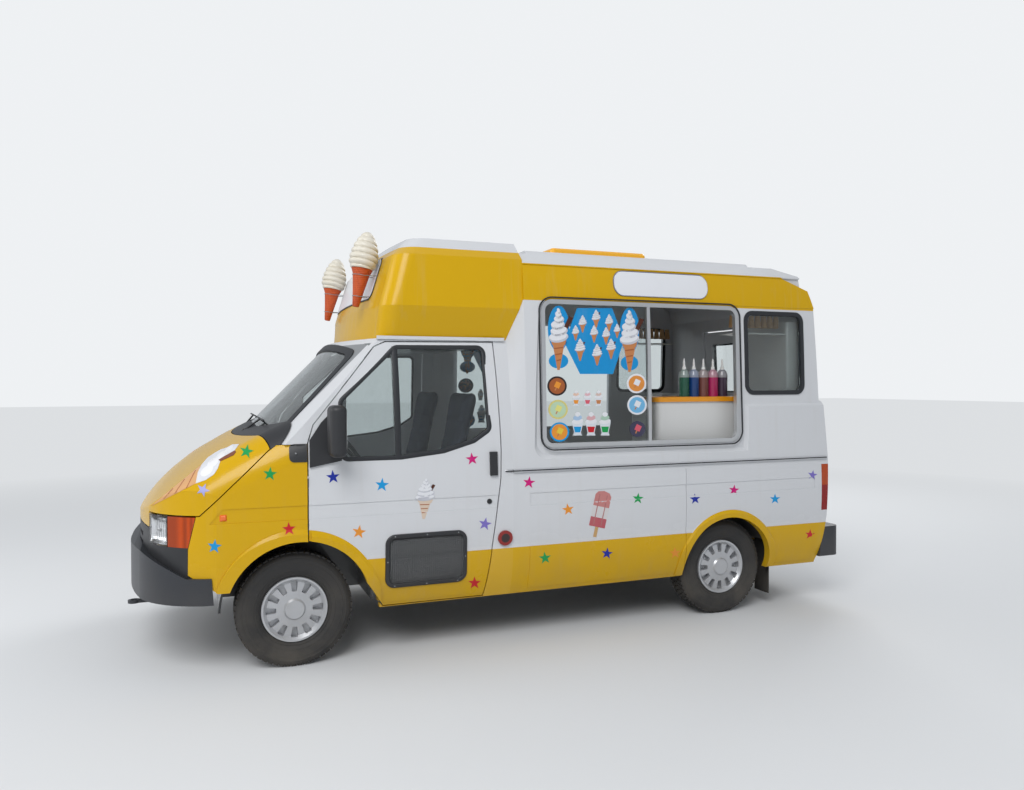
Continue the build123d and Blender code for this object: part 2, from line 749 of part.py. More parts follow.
hatch_x0 = side_front_x + 483
hatch_x1 = side_front_x + 1223
hatch_half = 440
crown_x0 = side_front_x + 230
crown_x1 = body_rear_x - 423
crown_half = 570
crown_wall = 28
luton_top_side = [(0, 0), (shoulder_x, 0), (shoulder_x, roof_z + 200), (0, roof_z + 200)]
with BuildPart() as upper_body:
    add(body_shell & block(side_front_x, tail_x, -1000, 1000, waist_z, roof_z + 100))
    rise = [(-crown_half - 70, roof_z - 5), (-crown_half, crown_z), (crown_half, crown_z), (crown_half + 70, roof_z - 5)]
    add(lengthwise(rise, crown_x0, crown_x1))
    fall = [(-crown_half - 30, roof_z - 80), (25 - crown_half, crown_z - crown_wall),
            (crown_half - 25, crown_z - crown_wall), (crown_half + 30, roof_z - 80)]
    add(lengthwise(fall, crown_x0 + 40, crown_x1 - 40), mode=Mode.SUBTRACT)
    add(block(hatch_x0 + 12, hatch_x1 - 4, -hatch_half + 12, hatch_half - 12, crown_z - 7, hatch_low_z - touch))
    add(block(hatch_x0 + 40, hatch_x1 - 32, -hatch_half + 40, hatch_half - 40, roof_z - 75, roof_z + 125), mode=Mode.SUBTRACT)
    for side in (-1, 1):
        add((side_hull(body_side, -5) - side_hull(window_side, 0)) & recess(side), mode=Mode.SUBTRACT)
    add(window(serving, touch, -1000, 1000), mode=Mode.SUBTRACT)
    add(window(rear_side, touch, -1000, 1000), mode=Mode.SUBTRACT)
    add(block(body_rear_x - 250, tail_x, -doorway, doorway, waist_z - 10, rear_door_top + rear_gap), mode=Mode.SUBTRACT)
    add(rear_hinge(rear_hinge_rows[1]))
save(upper_body, "upper_body")

# Luton over the cab: a hollow moulding with a raked, bowed front
# Columns: height, half width, middle of the nose, start of the side, corner radius
luton_stations = [
    (cab_top_z + touch, half_width - 128, 395, 478, 110),
    (cab_top_z + 190, half_width - 62, 428, 492, 110),
    (band_top_z + 22, half_width - 78, 536, 574, 110),
    (luton_roof_z, half_width - 215, 655, 690, 110),
]
luton_floor = 24


def luton_form(inset):
    """The luton's outer form, drawn in by an inset."""
    with BuildPart() as form:
        for z, half, nose, corner, radius in luton_stations:
            side = half - inset
            tip = front_axle_x + nose + inset
            edge = front_axle_x + corner + inset
            high = z - inset if z == luton_roof_z else z
            with BuildSketch(Plane.XY.offset(high)):
                with BuildLine():
                    Line((shoulder_x, -side), (edge + radius, -side))
                    turn = radius * (1 - cos(radians(45)))
                    ThreePointArc((edge + radius, -side), (edge + turn, turn - side), (edge, radius - side))
                    ThreePointArc((edge, radius - side), (tip, 0), (edge, side - radius))
                    ThreePointArc((edge, side - radius), (edge + turn, side - turn), (edge + radius, side))
                    Line((edge + radius, side), (shoulder_x, side))
                    Line((shoulder_x, side), (shoulder_x, -side))
                make_face()
        loft(ruled=True)
    return form.part


luton_low = [(side_front_x, 1500), (side_front_x, cab_top_z + 1), (shoulder_x, band_z + 1), (shoulder_x, 1500)]
with BuildPart() as luton:
    add(luton_form(0))
    add(luton_form(shell_wall) & block(-tail_x, shoulder_x - touch, -1000, 1000, cab_top_z + luton_floor, roof_z + 300),
        mode=Mode.SUBTRACT)
    add(block(side_front_x - 300, shoulder_x, -700, 700, cab_top_z - 10, cab_top_z + 40), mode=Mode.SUBTRACT)
    add(across(luton_low, -1000, 1000), mode=Mode.SUBTRACT)
save(luton, "luton")

# Roof hatch
with BuildPart() as roof_hatch:
    add(block(hatch_x0, hatch_x1, -hatch_half, hatch_half, hatch_low_z, hatch_low_z + 50, 30))
    chamfer(roof_hatch.faces().sort_by(Axis.Z)[-1].edges(), 14)
save(roof_hatch, "roof_hatch")

# Aluminium: serving window frames, their dividers and the belt trim
frame_wide = 26
divider_x = side_front_x + 960
with BuildPart() as aluminium_trim:
    add(skin(-9, 24, window_side))
    add(window(serving, 0, -1000, 1000) - window(serving, -frame_wide, -1000, 1000), mode=Mode.INTERSECT)
    bar = block(divider_x - 12, divider_x + 12, -1000, 1000, serving[2] + 20, serving[3] - 15)
    add(skin(-7, 20, window_side) & bar)
    belt_low, belt_high = waist_z - 15, waist_z + 5
    add(skin(-12, -touch) & block(shoulder_x, body_rear_x - 20, -1000, 1000, belt_low, belt_high))
    widening = shoulder_form(-12, sill_z, 0) - shoulder_form(-touch, sill_z, 0)
    add(widening & block(side_front_x + 2, shoulder_x, -1000, 1000, belt_low, belt_high))
save(aluminium_trim, "aluminium_trim")

# Glass that does not open: windscreen, serving and rear side panes
with BuildPart() as window_glass:
    add(screen_slab(6, 12) & screen_window(20))
    ahead_of_bar = block(serving[0], divider_x - 12.5, -1000, 1000, waist_z, band_z + 100)
    add(skin(10, 16, window_side) & (window(serving, -frame_wide - touch, -1000, 1000) & ahead_of_bar))
    add(skin(10, 16, window_side) & window(rear_side, -30, -1000, 1000))
save(window_glass, "window_glass")

# Rubber seals round the screen and the rear side windows
with BuildPart() as window_seals:
    add(screen_slab(-6, -touch) & (screen_window(0) - screen_window(48)))
    add(screen_slab(-6, 5.7) & (screen_window(18.3) - screen_window(48)))
    add(skin(-6, 20, window_side) & (window(rear_side, 0, -1000, 1000) - window(rear_side, -29, -1000, 1000)))
save(window_seals, "window_seals")

# Cab doors
glass_outline = [
    (front_axle_x + 250, 1146),
    (front_axle_x + 588, 1146),
    (front_axle_x + 840, 1173),
    (front_axle_x + 1027, 1227),
    (front_axle_x + 1128, 1292),
    (front_axle_x + 1116, 1784),
    (front_axle_x + 574, 1778),
    (front_axle_x + 250, 1470),
]
glass_corner = 36
quarter_bar = (front_axle_x + 556, front_axle_x + 588)
hinge_relief = 12
vent = (front_axle_x + 492, front_axle_x + 977, 400, 709, 55)
vent_seat = 14


def cab_door():
    """The left cab door: a pressed shell with its window cut, its arch lip and its rocker step."""
    near, far = -1100, -600
    with BuildPart() as leaf:
        add(cab_ring & across(door_outline, near, far))
        rocker = cab_skin(-4, 10) & block(door_front_x, tail_x, near, far, sill_z + 30, rocker_z)
        add(rocker & across(door_outline, near, far))
        lip = (cab_skin(-lip_deep, 10) & front_lip) & across(door_outline, near, far)
        add(lip & block(door_front_x + hinge_relief, tail_x, near, far, 0, waist_z))
        add(arch(front_arch_x, front_arch_radius + 4), mode=Mode.SUBTRACT)
        add(cab_skin(-1, swage_deep) & across(swage, near, far), mode=Mode.SUBTRACT)
        panes = across(glass_outline, near, far, glass_corner)
        add(panes - block(*quarter_bar, near, far, 1000, 1900), mode=Mode.SUBTRACT)
    return leaf.part


left_leaf = cab_door()


def cab_glass(near, far):
    """The two panes of one cab door."""
    bar = block(quarter_bar[0] - touch, quarter_bar[1] + touch, near, far, 1000, 1900)
    return (cab_skin(16, 21) & across(glass_outline, near, far, glass_corner)) - bar


with BuildPart() as door_left:
    add(left_leaf)
    add(window(vent, -vent_seat, -1000, -600), mode=Mode.SUBTRACT)
    add(cab_skin(-12, 0) & window(vent, 2, -1100, -600), mode=Mode.SUBTRACT)
save(door_left, "door_left")

with BuildPart() as door_right:
    add(left_leaf.mirror(Plane.XZ))
save(door_right, "door_right")

with BuildPart() as door_glass_left:
    add(cab_glass(-1000, -600))
save(door_glass_left, "door_glass_left")

with BuildPart() as door_glass_right:
    add(cab_glass(600, 1000))
save(door_glass_right, "door_glass_right")

# Vent of expanded mesh in the left door: staggered diamonds through a plate, held by a rounded frame
mesh_pitch_x = 38
mesh_pitch_z = 30
mesh_web = 7
with BuildPart() as door_vent:
    add(cab_skin(-10, -touch) & (window(vent, 0, -1100, -600) - window(vent, -20, -1100, -600)))
    with BuildPart() as plate:
        add(cab_skin(-1, 6) & window(vent, -vent_seat - 0.5, -1100, -600))
        middle = ((vent[0] + vent[1]) / 2, (vent[2] + vent[3]) / 2)
        wide = mesh_pitch_x / 2 - mesh_web / 2
        tall = mesh_pitch_z / 2 - mesh_web / 2
        holes = [(column * mesh_pitch_x / 2, row * mesh_pitch_z / 2)
                 for column in range(-10, 11) for row in range(-7, 8) if (column + row) % 2 == 0]
        with BuildSketch(Plane(origin=(middle[0], -600, middle[1]), x_dir=(1, 0, 0), z_dir=(0, -1, 0))):
            with Locations(*holes):
                Polygon((-wide, 0), (0, -tall), (wide, 0), (0, tall))
        extrude(amount=500, mode=Mode.SUBTRACT)
    add(plate.part)
save(door_vent, "door_vent")

# Mirrors on their sail plates, with the doors' pull handles in the same black plastic
mirror_x = front_axle_x + 205
handle_x = front_axle_x + 1146
handle_z = 1090
sail = [(door_front_x + 6, 1108), (front_axle_x + 250, 1140), (front_axle_x + 250, 1462),
        (front_axle_x + 140, 1352), (door_front_x + 6, 1256)]


def door_mirror(side):
    """A door mirror on its arm, and the door's handle."""
    with BuildPart() as housing:
        low, high = sorted((side * (half_width + 35), side * (half_width + 200)))
        add(block(mirror_x - 45, mirror_x + 45, low, high, 1172, 1450, 40))
        fillet(housing.edges().filter_by(GeomType.CIRCLE), 30)
        low, high = sorted((side * 700, side * 1000))
        add(cab_skin(-12, -touch) & across(sail, low, high))
        low, high = sorted((side * (half_width - 9), side * (half_width + 60)))
        add(block(mirror_x - 20, mirror_x + 20, low, high, 1185, 1225))
        low, high = sorted((side * 700, side * 1000))
        add(cab_skin(-16, -touch) & block(handle_x - 24, handle_x + 22, low, high, handle_z - 70, handle_z + 70))
    return housing.part


with BuildPart() as mirror_left:
    add(door_mirror(-1))
save(mirror_left, "mirror_left")

with BuildPart() as mirror_right:
    add(door_mirror(1))
save(mirror_right, "mirror_right")

# Rear door
rear_pane_low = ledge_z + 60
with BuildPart() as rear_door:
    add(body_shell & block(body_rear_x - 250, tail_x, -rear_door_half, rear_door_half, rear_door_low, rear_door_top))
    pane = rear_door_half - 90
    add(block(body_rear_x - 300, tail_x, -pane, pane, rear_pane_low, rear_door_top - 100), mode=Mode.SUBTRACT)
    for z in rear_hinge_rows:
        add(rear_strap(z) & block(body_rear_x - 300, tail_x, 0, rear_door_half, z - 30, z + 30))
save(rear_door, "rear_door")

with BuildPart() as rear_door_glass:
    seat = pane - touch
    opening = block(body_rear_x - 250, tail_x, -seat, seat, rear_pane_low + touch, rear_door_top - 100 - touch)
    add((body_form(16) - body_form(22)) & opening)
save(rear_door_glass, "rear_door_glass")

# Rear bumper, mudflaps and fuel cap
with BuildPart() as rear_bumper:
    add(block(body_rear_x - 80, tail_x, -930, 930, 334, 543, 0))
    behind = [(x + touch, z) for x, z in lower_tail[:4]] + [(body_rear_x - 300, waist_z), (body_rear_x - 300, 150)]
    add(across(behind, -1000, 1000), mode=Mode.SUBTRACT)
    fillet(rear_bumper.edges().filter_by(Axis.Z).sort_by(Axis.X)[-2:], 60)
save(rear_bumper, "rear_bumper")

flap_x = rear_axle_x + 425
with BuildPart() as mudflaps:
    for near, far in both_sides(690, 838):
        add(block(flap_x, flap_x + 8, near, far, 85, rail_top))
save(mudflaps, "mudflaps")

cap_x = front_axle_x + 1216
cap_z = 642
with BuildPart() as fuel_cap:
    add(cab_skin(-14, -touch) & drum(cap_x, cap_z, 45, -1000, -600))
save(fuel_cap, "fuel_cap")

# Serving counter with its raised unit and the unit's rim
unit_x0 = side_front_x + 1095
unit_x1 = side_front_x + 1800
unit_top = 1440
rim_top = 1472
with BuildPart() as counter:
    add(block(side_front_x + 330, body_rear_x - 293, -box_outer + 4, -460, 1010, 1050))
    add(block(side_front_x + 360, unit_x0 + 95, -box_outer + 40, -500, floor_z, 1010))
    add(block(unit_x0, unit_x1, -800, -430, 1050, unit_top, 40))
    add(block(unit_x0 - 12, unit_x1 + 12, -812, -418, unit_top, rim_top, 50))
save(counter, "counter")

# Syrup bottles in a row: radius and height of the turned outline
bottle_profile = [(0, 0), (37, 0), (37, 150), (30, 176), (14, 192), (14, 208), (9, 210), (8, 240), (4, 266), (0, 266)]
bottle_count = 5
bottle_pitch = 80
bottle_y = -620
with BuildPart() as bottles:
    for place in range(bottle_count):
        x = side_front_x + 1420 + place * bottle_pitch
        foot = Plane(origin=(x, bottle_y, rim_top + touch), x_dir=(1, 0, 0), z_dir=(0, 0, 1))
        add(turned(foot, bottle_profile))
save(bottles, "bottles")

with BuildPart() as cabinet:
    add(block(side_front_x + 1870, side_front_x + 2250, 380, 625, floor_z + touch, 1480))
    add(block(side_front_x + 340, side_front_x + 1050, 440, 840, floor_z + touch, 1050))
    add(block(body_rear_x - 270, body_rear_x - 155, -830, -390, floor_z + touch, 2000, 15))
save(cabinet, "cabinet")

# Cab inside: seats, dashboard and steering wheel
with BuildPart() as seats:
    for y in (-430, 430):
        add(block(front_axle_x + 560, front_axle_x + 1040, y - 250, y + 250, 780, 900, 60))
        back = [(front_axle_x + 960, 900 + touch), (front_axle_x + 1040, 900 + touch), (front_axle_x + 1180, 1560), (front_axle_x + 1100, 1560)]
        add(across(back, y - 240, y + 240))
        add(block(front_axle_x + 620, front_axle_x + 980, y - 190, y + 190, floor_z + touch, 780))
save(seats, "seats")

wheel_tilt = 52
with BuildPart() as dashboard:
    dash = [(front_axle_x + 100.3, 860), (front_axle_x + 300, 900), (front_axle_x + 330, 1120), (front_axle_x + 250, 1210), (front_axle_x + 100.3, 1215)]
    add(across(dash, -840, 840, 20))
    centre = Vector(front_axle_x + 500, 400, 1130)
    tilt = Vector(sin(radians(wheel_tilt)), 0, cos(radians(wheel_tilt)))
    add(rod(centre - tilt * 260, centre + tilt * 10, 34))
    face = Plane(origin=centre, x_dir=(0, 1, 0), z_dir=tilt)
    with Locations(face):
        Torus(190, 14)
        Box(370, 30, 16)
save(dashboard, "dashboard")

# Engine and gearbox as one block, running gear and underbody
with BuildPart() as engine_block:
    add(block(front_axle_x - 560, front_axle_x + 40, -230, 230, 380, 940, 30))
    add(block(front_axle_x + 20, front_axle_x + 760, -150, 150, 335, 470, 20))
    for near, far in both_sides(228, front_rail_y - rail_wide / 2):
        add(block(front_axle_x - 340, front_axle_x - 260, near, far, rail_low + 10, rail_top))
save(engine_block, "engine_block")

sleeve_radius = 26
kingpin_radius = 13
sleeve_low = 236
sleeve_top = 400
with BuildPart() as crossmember:
    add(block(front_axle_x - 70, front_axle_x + 70, -520, 520, 262, 322, 10))
    for side in (-1, 1):
        low, high = sorted((side * 500, side * kingpin_y))
        add(block(front_axle_x - 40, front_axle_x + 40, low, high, 205, sleeve_low - 1))
        low, high = sorted((side * 490, side * 530))
        add(block(front_axle_x - 40, front_axle_x + 40, low, high, 205, 300))
        add(rod((front_axle_x, side * kingpin_y, 205), (front_axle_x, side * kingpin_y, sleeve_low + 100), kingpin_radius))
        low, high = sorted((side * (front_rail_y - 30), side * (front_rail_y + 30)))
        add(block(front_axle_x - 50, front_axle_x + 50, low, high, 315, rail_low))
save(crossmember, "crossmember")

spindle_radius = 20
for side, name in ((-1, "knuckle_left"), (1, "knuckle_right")):
    with BuildPart() as knuckle:
        add(rod((front_axle_x, side * kingpin_y, sleeve_low), (front_axle_x, side * kingpin_y, 640), sleeve_radius))
        add(rod((front_axle_x, side * kingpin_y, tyre_radius), (front_axle_x, side * (wheel_y + 62), tyre_radius), spindle_radius))
        add(rod((front_axle_x, side * kingpin_y, 200), (front_axle_x, side * kingpin_y, sleeve_low + 101), kingpin_radius + 0.4), mode=Mode.SUBTRACT)
    save(knuckle, name)

diff_radius = 125
spring_y = rail_y
with BuildPart() as rear_axle:
    add(rod((rear_axle_x, -690, tyre_radius), (rear_axle_x, 690, tyre_radius), 42))
    add(rod((rear_axle_x, -(wheel_y + 62), tyre_radius), (rear_axle_x, wheel_y + 62, tyre_radius), spindle_radius))
    with Locations((rear_axle_x, 0, tyre_radius)):
        Sphere(diff_radius)
    add(rod((rear_axle_x - 100, 0, tyre_radius), (front_axle_x + 762, 0, 385), 34))
    for near, far in both_sides(spring_y - 30, spring_y + 30):
        with BuildSketch(Plane.XZ.offset(-far)):
            with BuildLine():
                ThreePointArc((rear_axle_x - 640, 400), (rear_axle_x, 348), (rear_axle_x + 640, 400))
                Line((rear_axle_x + 640, 400), (rear_axle_x + 640, 412))
                ThreePointArc((rear_axle_x + 640, 412), (rear_axle_x, 384), (rear_axle_x - 640, 412))
                Line((rear_axle_x - 640, 412), (rear_axle_x - 640, 400))
            make_face()
        extrude(amount=far - near)
        add(block(rear_axle_x - 640, rear_axle_x - 600, near, far, 402, rail_low))
        add(block(rear_axle_x + 600, rear_axle_x + 640, near, far, 402, rail_low))
save(rear_axle, "rear_axle")

with BuildPart() as exhaust:
    add(rod((front_axle_x + 500, 330, 330), (rear_axle_x - 500, 330, 330), 24))
    add(rod((front_axle_x + 900, 330, 330), (front_axle_x + 1500, 330, 330), 75))
    add(rod((front_axle_x + 900, 330, 400), (front_axle_x + 900, 330, floor_z - floor_thick), 8))
save(exhaust, "exhaust")

with BuildPart() as fuel_tank:
    add(block(front_axle_x + 1150, front_axle_x + 1950, -510, -60, 260, floor_z - floor_thick, 50))
save(fuel_tank, "fuel_tank")

# Ornamental cones, one at each front corner of the luton
cone_y = half_width - 383
cone_x = front_axle_x + 400
cone_tilt = 10
cone_lean = Vector(sin(radians(cone_tilt)), 0, cos(radians(cone_tilt)))
cone_foot_z = cab_top_z + 201
wafer_high = 232
bracket_z = cone_foot_z + 119
wafer_profile = [(0, 0), (22, 0), (56, 150), (72, 158), (79, wafer_high), (0, wafer_high)]
# Ribs of the swirl: radius and height above the wafer
swirl_ribs = [(85, 20), (79, 57), (68, 93), (55, 127), (41, 159), (27, 189)]
rib_half = 21
rib_tilt = 9
swirl_tip = [(0, 0), (64, 0), (16, 190), (14, 205), (0, 240)]


def cone_axis(side, high):
    """The leaning line of one cone, from a height above its foot."""
    foot = Vector(cone_x, side * cone_y, cone_foot_z) + cone_lean * high
    return Plane(origin=foot, x_dir=(0, 1, 0), z_dir=cone_lean)


def swirl(side):
    """Soft ice cream: leaning ribs that shrink towards a tip."""
    base = cone_axis(side, wafer_high + touch)
    with BuildPart() as cream:
        add(turned(base, swirl_tip))
        lean = radians(cone_tilt + rib_tilt)
        for radius, high in swirl_ribs:
            middle = base.origin + cone_lean * high
            across_rib = Plane(origin=middle, x_dir=(0, 1, 0), z_dir=(sin(lean), 0, cos(lean)))
            with BuildSketch(Plane(origin=middle, x_dir=(0, 1, 0), z_dir=across_rib.y_dir * -1)):
                with BuildLine():
                    Line((0, -rib_half), (radius - rib_half, -rib_half))
                    ThreePointArc((radius - rib_half, -rib_half), (radius, 0), (radius - rib_half, rib_half))
                    Line((radius - rib_half, rib_half), (0, rib_half))
                    Line((0, rib_half), (0, -rib_half))
                make_face()
            revolve(axis=Axis(middle, across_rib.z_dir))
        with BuildSketch(base):
            Circle(130)
        extrude(amount=400, mode=Mode.INTERSECT)
    return cream.part


with BuildPart() as cone_wafers:
    for side in (-1, 1):
        add(turned(cone_axis(side, 0), wafer_profile))
        add(rod((cone_x + 20, side * cone_y, bracket_z), (cone_x + 130, side * cone_y, bracket_z), 6))
    add(luton_form(-touch), mode=Mode.SUBTRACT)
save(cone_wafers, "cone_wafers")

with BuildPart() as cone_swirls:
    for side in (-1, 1):
        add(swirl(side))
save(cone_swirls, "cone_swirls")

# Blank name plates on the sides
pill = (side_front_x + 712, body_rear_x - 984, band_z + 51, band_top_z - 14, 70)
with BuildPart() as name_plates:
    add(skin(-8, -touch) & window(pill, 0, -1000, 1000))
save(name_plates, "name_plates")

# Wheels and tyres
tyre_profile = [(rim_radius + touch, -70), (230, -90), (290, -92), (tyre_radius - 8, -72), (tyre_radius, -50),
                (tyre_radius, 50), (tyre_radius - 8, 72), (290, 92), (230, 90), (rim_radius + touch, 70)]
places = (
    ("front_left", front_axle_x, -1),
    ("front_right", front_axle_x, 1),
    ("rear_left", rear_axle_x, -1),
    ("rear_right", rear_axle_x, 1),
)
pocket_count = 12
pocket_outline = [(98, -13), (156, -20), (156, 20), (98, 13)]
for name, x, side in places:
    axis = Plane(origin=(x, side * wheel_y, tyre_radius), x_dir=(1, 0, 0), z_dir=(0, side, 0))
    with BuildPart() as tyre:
        add(turned(axis, tyre_profile))
    save(tyre, f"tyre_{name}")
    with BuildPart() as rim:
        rim_profile = [(spindle_radius + 0.5, -20), (70, -20), (80, 20), (165, 5), (170, -68), (rim_radius, -68),
                       (rim_radius, 68), (178, 80), (168, 80), (150, 62), (60, 74), (50, 84), (0, 84),
                       (0, 66), (spindle_radius + 0.5, 64)]
        add(turned(axis, rim_profile))
        with BuildSketch(Plane(origin=axis.origin + axis.z_dir * 28, x_dir=axis.x_dir, z_dir=axis.z_dir)) as pockets:
            with PolarLocations(0, pocket_count):
                Polygon(*pocket_outline, align=None)
            fillet(pockets.vertices(), 6)
        extrude(amount=80, mode=Mode.SUBTRACT)
    save(rim, f"wheel_{name}")
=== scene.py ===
# %% [markdown]
# An ice cream van, dressed for the camera
#
# The construction comes packed from the CAD model: panels, doors, glass, wheels and running gear,
# already in their real places. This file gives each surface its finish and adds what only the
# looks need: stickers, mesh, tread, seams, screws and soft seats. Lengths are in metres.

import math

import bmesh
import bpy
from mathutils import Matrix, Vector
from mathutils.bvhtree import BVHTree


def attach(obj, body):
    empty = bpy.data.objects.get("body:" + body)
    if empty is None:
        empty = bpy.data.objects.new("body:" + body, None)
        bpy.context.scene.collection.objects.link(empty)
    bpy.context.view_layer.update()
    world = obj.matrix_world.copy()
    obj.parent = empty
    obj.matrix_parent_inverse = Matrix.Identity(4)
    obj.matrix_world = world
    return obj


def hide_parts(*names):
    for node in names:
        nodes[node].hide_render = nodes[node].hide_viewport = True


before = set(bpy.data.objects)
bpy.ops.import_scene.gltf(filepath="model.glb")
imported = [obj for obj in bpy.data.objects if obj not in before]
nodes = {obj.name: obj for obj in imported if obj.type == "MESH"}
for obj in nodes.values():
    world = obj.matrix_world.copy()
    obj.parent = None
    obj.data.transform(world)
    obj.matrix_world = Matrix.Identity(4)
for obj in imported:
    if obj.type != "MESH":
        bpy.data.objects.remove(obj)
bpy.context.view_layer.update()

# %% [markdown]
# The camera stands where the photographer stood. Solving the photograph for its perspective gave
# the place, the turn and the focal length, all relative to the front axle, so they are written
# here as such.

# %% Camera
front_axle_x = -1.465
rear_axle_x = 1.350
photo_wide = 1024
photo_high = 790
focal_px = 804.3
camera_place = Vector((front_axle_x - 0.496, -5.438, 1.564))
camera_yaw = math.radians(21.40)
camera_pitch = math.radians(-0.80)
camera_roll = math.radians(0.13)

ahead = Vector((math.sin(camera_yaw) * math.cos(camera_pitch),
                math.cos(camera_yaw) * math.cos(camera_pitch),
                math.sin(camera_pitch)))
level_right = Vector((math.cos(camera_yaw), -math.sin(camera_yaw), 0))
level_down = ahead.cross(level_right)
right = level_right * math.cos(camera_roll) + level_down * math.sin(camera_roll)
down = level_down * math.cos(camera_roll) - level_right * math.sin(camera_roll)

lens = bpy.data.cameras.new("camera")
lens.sensor_width = 36
lens.lens = focal_px / photo_wide * lens.sensor_width
camera = bpy.data.objects.new("camera", lens)
turn = Matrix((right, -down, -ahead)).transposed()
camera.matrix_world = Matrix.Translation(camera_place) @ turn.to_4x4()
bpy.context.scene.collection.objects.link(camera)
bpy.context.scene.camera = camera
print("lens", round(lens.lens, 2), "mm")

# %% [markdown]
# The light is an overcast studio: one wide soft lamp above the camera side, a weaker one on the
# far side, and a pale world. The floor is plain and takes the van's shadow. Camera rays see a
# plain pale backdrop, so the background stays pale without putting more light on the van.

# %% Light and floor
scene = bpy.context.scene
scene.view_settings.view_transform = "Standard"


def area_lamp(name, place, target, size, power):
    """A soft square lamp that faces a point."""
    data = bpy.data.lights.new(name, "AREA")
    data.size = size
    data.energy = power
    lamp = bpy.data.objects.new(name, data)
    lamp.location = place
    lamp.rotation_euler = (Vector(target) - Vector(place)).to_track_quat("-Z", "Y").to_euler()
    scene.collection.objects.link(lamp)
    return lamp


area_lamp("key", (-4.5, -7.0, 7.5), (0, 0, 1.0), 5.0, 600)
area_lamp("fill", (6.0, 5.0, 6.0), (0, 0, 1.0), 5.0, 330)
area_lamp("front", (-8.0, 1.0, 4.0), (-1.0, 0, 1.2), 4.0, 150)

backdrop_colour = (0.86, 0.88, 0.90, 1)
world = bpy.data.worlds.new("studio")
scene.world = world
world.use_nodes = True
tree = world.node_tree
tree.nodes.clear()
output = tree.nodes.new("ShaderNodeOutputWorld")
shade = tree.nodes.new("ShaderNodeBackground")
backdrop = tree.nodes.new("ShaderNodeBackground")
shade.inputs["Color"].default_value = (0.86, 0.90, 0.95, 1)
shade.inputs["Strength"].default_value = 0.55
backdrop.inputs["Color"].default_value = backdrop_colour
backdrop.inputs["Strength"].default_value = 1.0
path = tree.nodes.new("ShaderNodeLightPath")
seen = tree.nodes.new("ShaderNodeMath")
seen.operation = "MAXIMUM"
tree.links.new(path.outputs["Is Camera Ray"], seen.inputs[0])
tree.links.new(path.outputs["Is Transmission Ray"], seen.inputs[1])
mix = tree.nodes.new("ShaderNodeMixShader")
tree.links.new(seen.outputs[0], mix.inputs["Fac"])
tree.links.new(shade.outputs["Background"], mix.inputs[1])
tree.links.new(backdrop.outputs["Background"], mix.inputs[2])
tree.links.new(mix.outputs["Shader"], output.inputs["Surface"])

floor_size = 60
mesh = bpy.data.meshes.new("floor")
mesh.from_pydata([(-floor_size, -floor_size, 0), (floor_size, -floor_size, 0),
                  (floor_size, floor_size, 0), (-floor_size, floor_size, 0)], [], [(0, 1, 2, 3)])
floor = bpy.data.objects.new("floor", mesh)
scene.collection.objects.link(floor)

# %% [markdown]
# A finish is a tree of shader nodes. These helpers make an empty material, a sum, a colour mix and
# a reusable group, so each finish below reads as a short list of steps.


# %% Helpers for shader trees
def material(name, roughness=0.4, metallic=0.0, coat=0.0):
    """A node material, its tree and its Principled shader."""
    made = bpy.data.materials.new(name)
    made.use_nodes = True
    shader = made.node_tree.nodes["Principled BSDF"]
    shader.inputs["Roughness"].default_value = roughness
    shader.inputs["Metallic"].default_value = metallic
    shader.inputs["Coat Weight"].default_value = coat
    shader.inputs["Coat Roughness"].default_value = 0.05
    return made, made.node_tree, shader


def feed(tree, value, socket):
    """Link an output, or write a plain value, into a socket."""
    if isinstance(value, bpy.types.NodeSocket):
        tree.links.new(value, socket)
    else:
        socket.default_value = value


def calc(tree, operation, *values):
    """One Math node."""
    node = tree.nodes.new("ShaderNodeMath")
    node.operation = operation
    for value, socket in zip(values, node.inputs):
        feed(tree, value, socket)
    return node.outputs[0]


def tint(tree, factor, first, second):
    """A colour between two colours."""
    node = tree.nodes.new("ShaderNodeMix")
    node.data_type = "RGBA"
    feed(tree, factor, node.inputs["Factor"])
    feed(tree, first, node.inputs["A"])
    feed(tree, second, node.inputs["B"])
    return node.outputs["Result"]


def position(tree):
    """Object coordinates, whole and as x, y and z."""
    where = tree.nodes.new("ShaderNodeTexCoord").outputs["Object"]
    parts = tree.nodes.new("ShaderNodeSeparateXYZ")
    tree.links.new(where, parts.inputs[0])
    return where, parts.outputs["X"], parts.outputs["Y"], parts.outputs["Z"]


def stretched(tree, where, scale):
    """Object coordinates scaled apart along each axis."""
    node = tree.nodes.new("ShaderNodeMapping")
    node.inputs["Scale"].default_value = scale
    tree.links.new(where, node.inputs["Vector"])
    return node.outputs[0]


def noise(tree, where, scale, detail=2.0, rough=0.5):
    """A noise value around one half."""
    node = tree.nodes.new("ShaderNodeTexNoise")
    node.inputs["Detail"].default_value = detail
    node.inputs["Roughness"].default_value = rough
    feed(tree, scale, node.inputs["Scale"])
    tree.links.new(where, node.inputs["Vector"])
    return node.outputs["Fac"]


def ramp(tree, value, low, high):
    """A value spread over zero to one between two limits."""
    node = tree.nodes.new("ShaderNodeMapRange")
    feed(tree, value, node.inputs["Value"])
    feed(tree, low, node.inputs["From Min"])
    feed(tree, high, node.inputs["From Max"])
    return node.outputs["Result"]


def shader_group(name, inputs, outputs):
    """A new node group with its named sockets."""
    group = bpy.data.node_groups.new(name, "ShaderNodeTree")
    for label, kind, value in inputs:
        socket = group.interface.new_socket(label, in_out="INPUT", socket_type=kind)
        socket.default_value = value
    for label, kind in outputs:
        group.interface.new_socket(label, in_out="OUTPUT", socket_type=kind)
    return group, group.nodes.new("NodeGroupInput").outputs, group.nodes.new("NodeGroupOutput").inputs


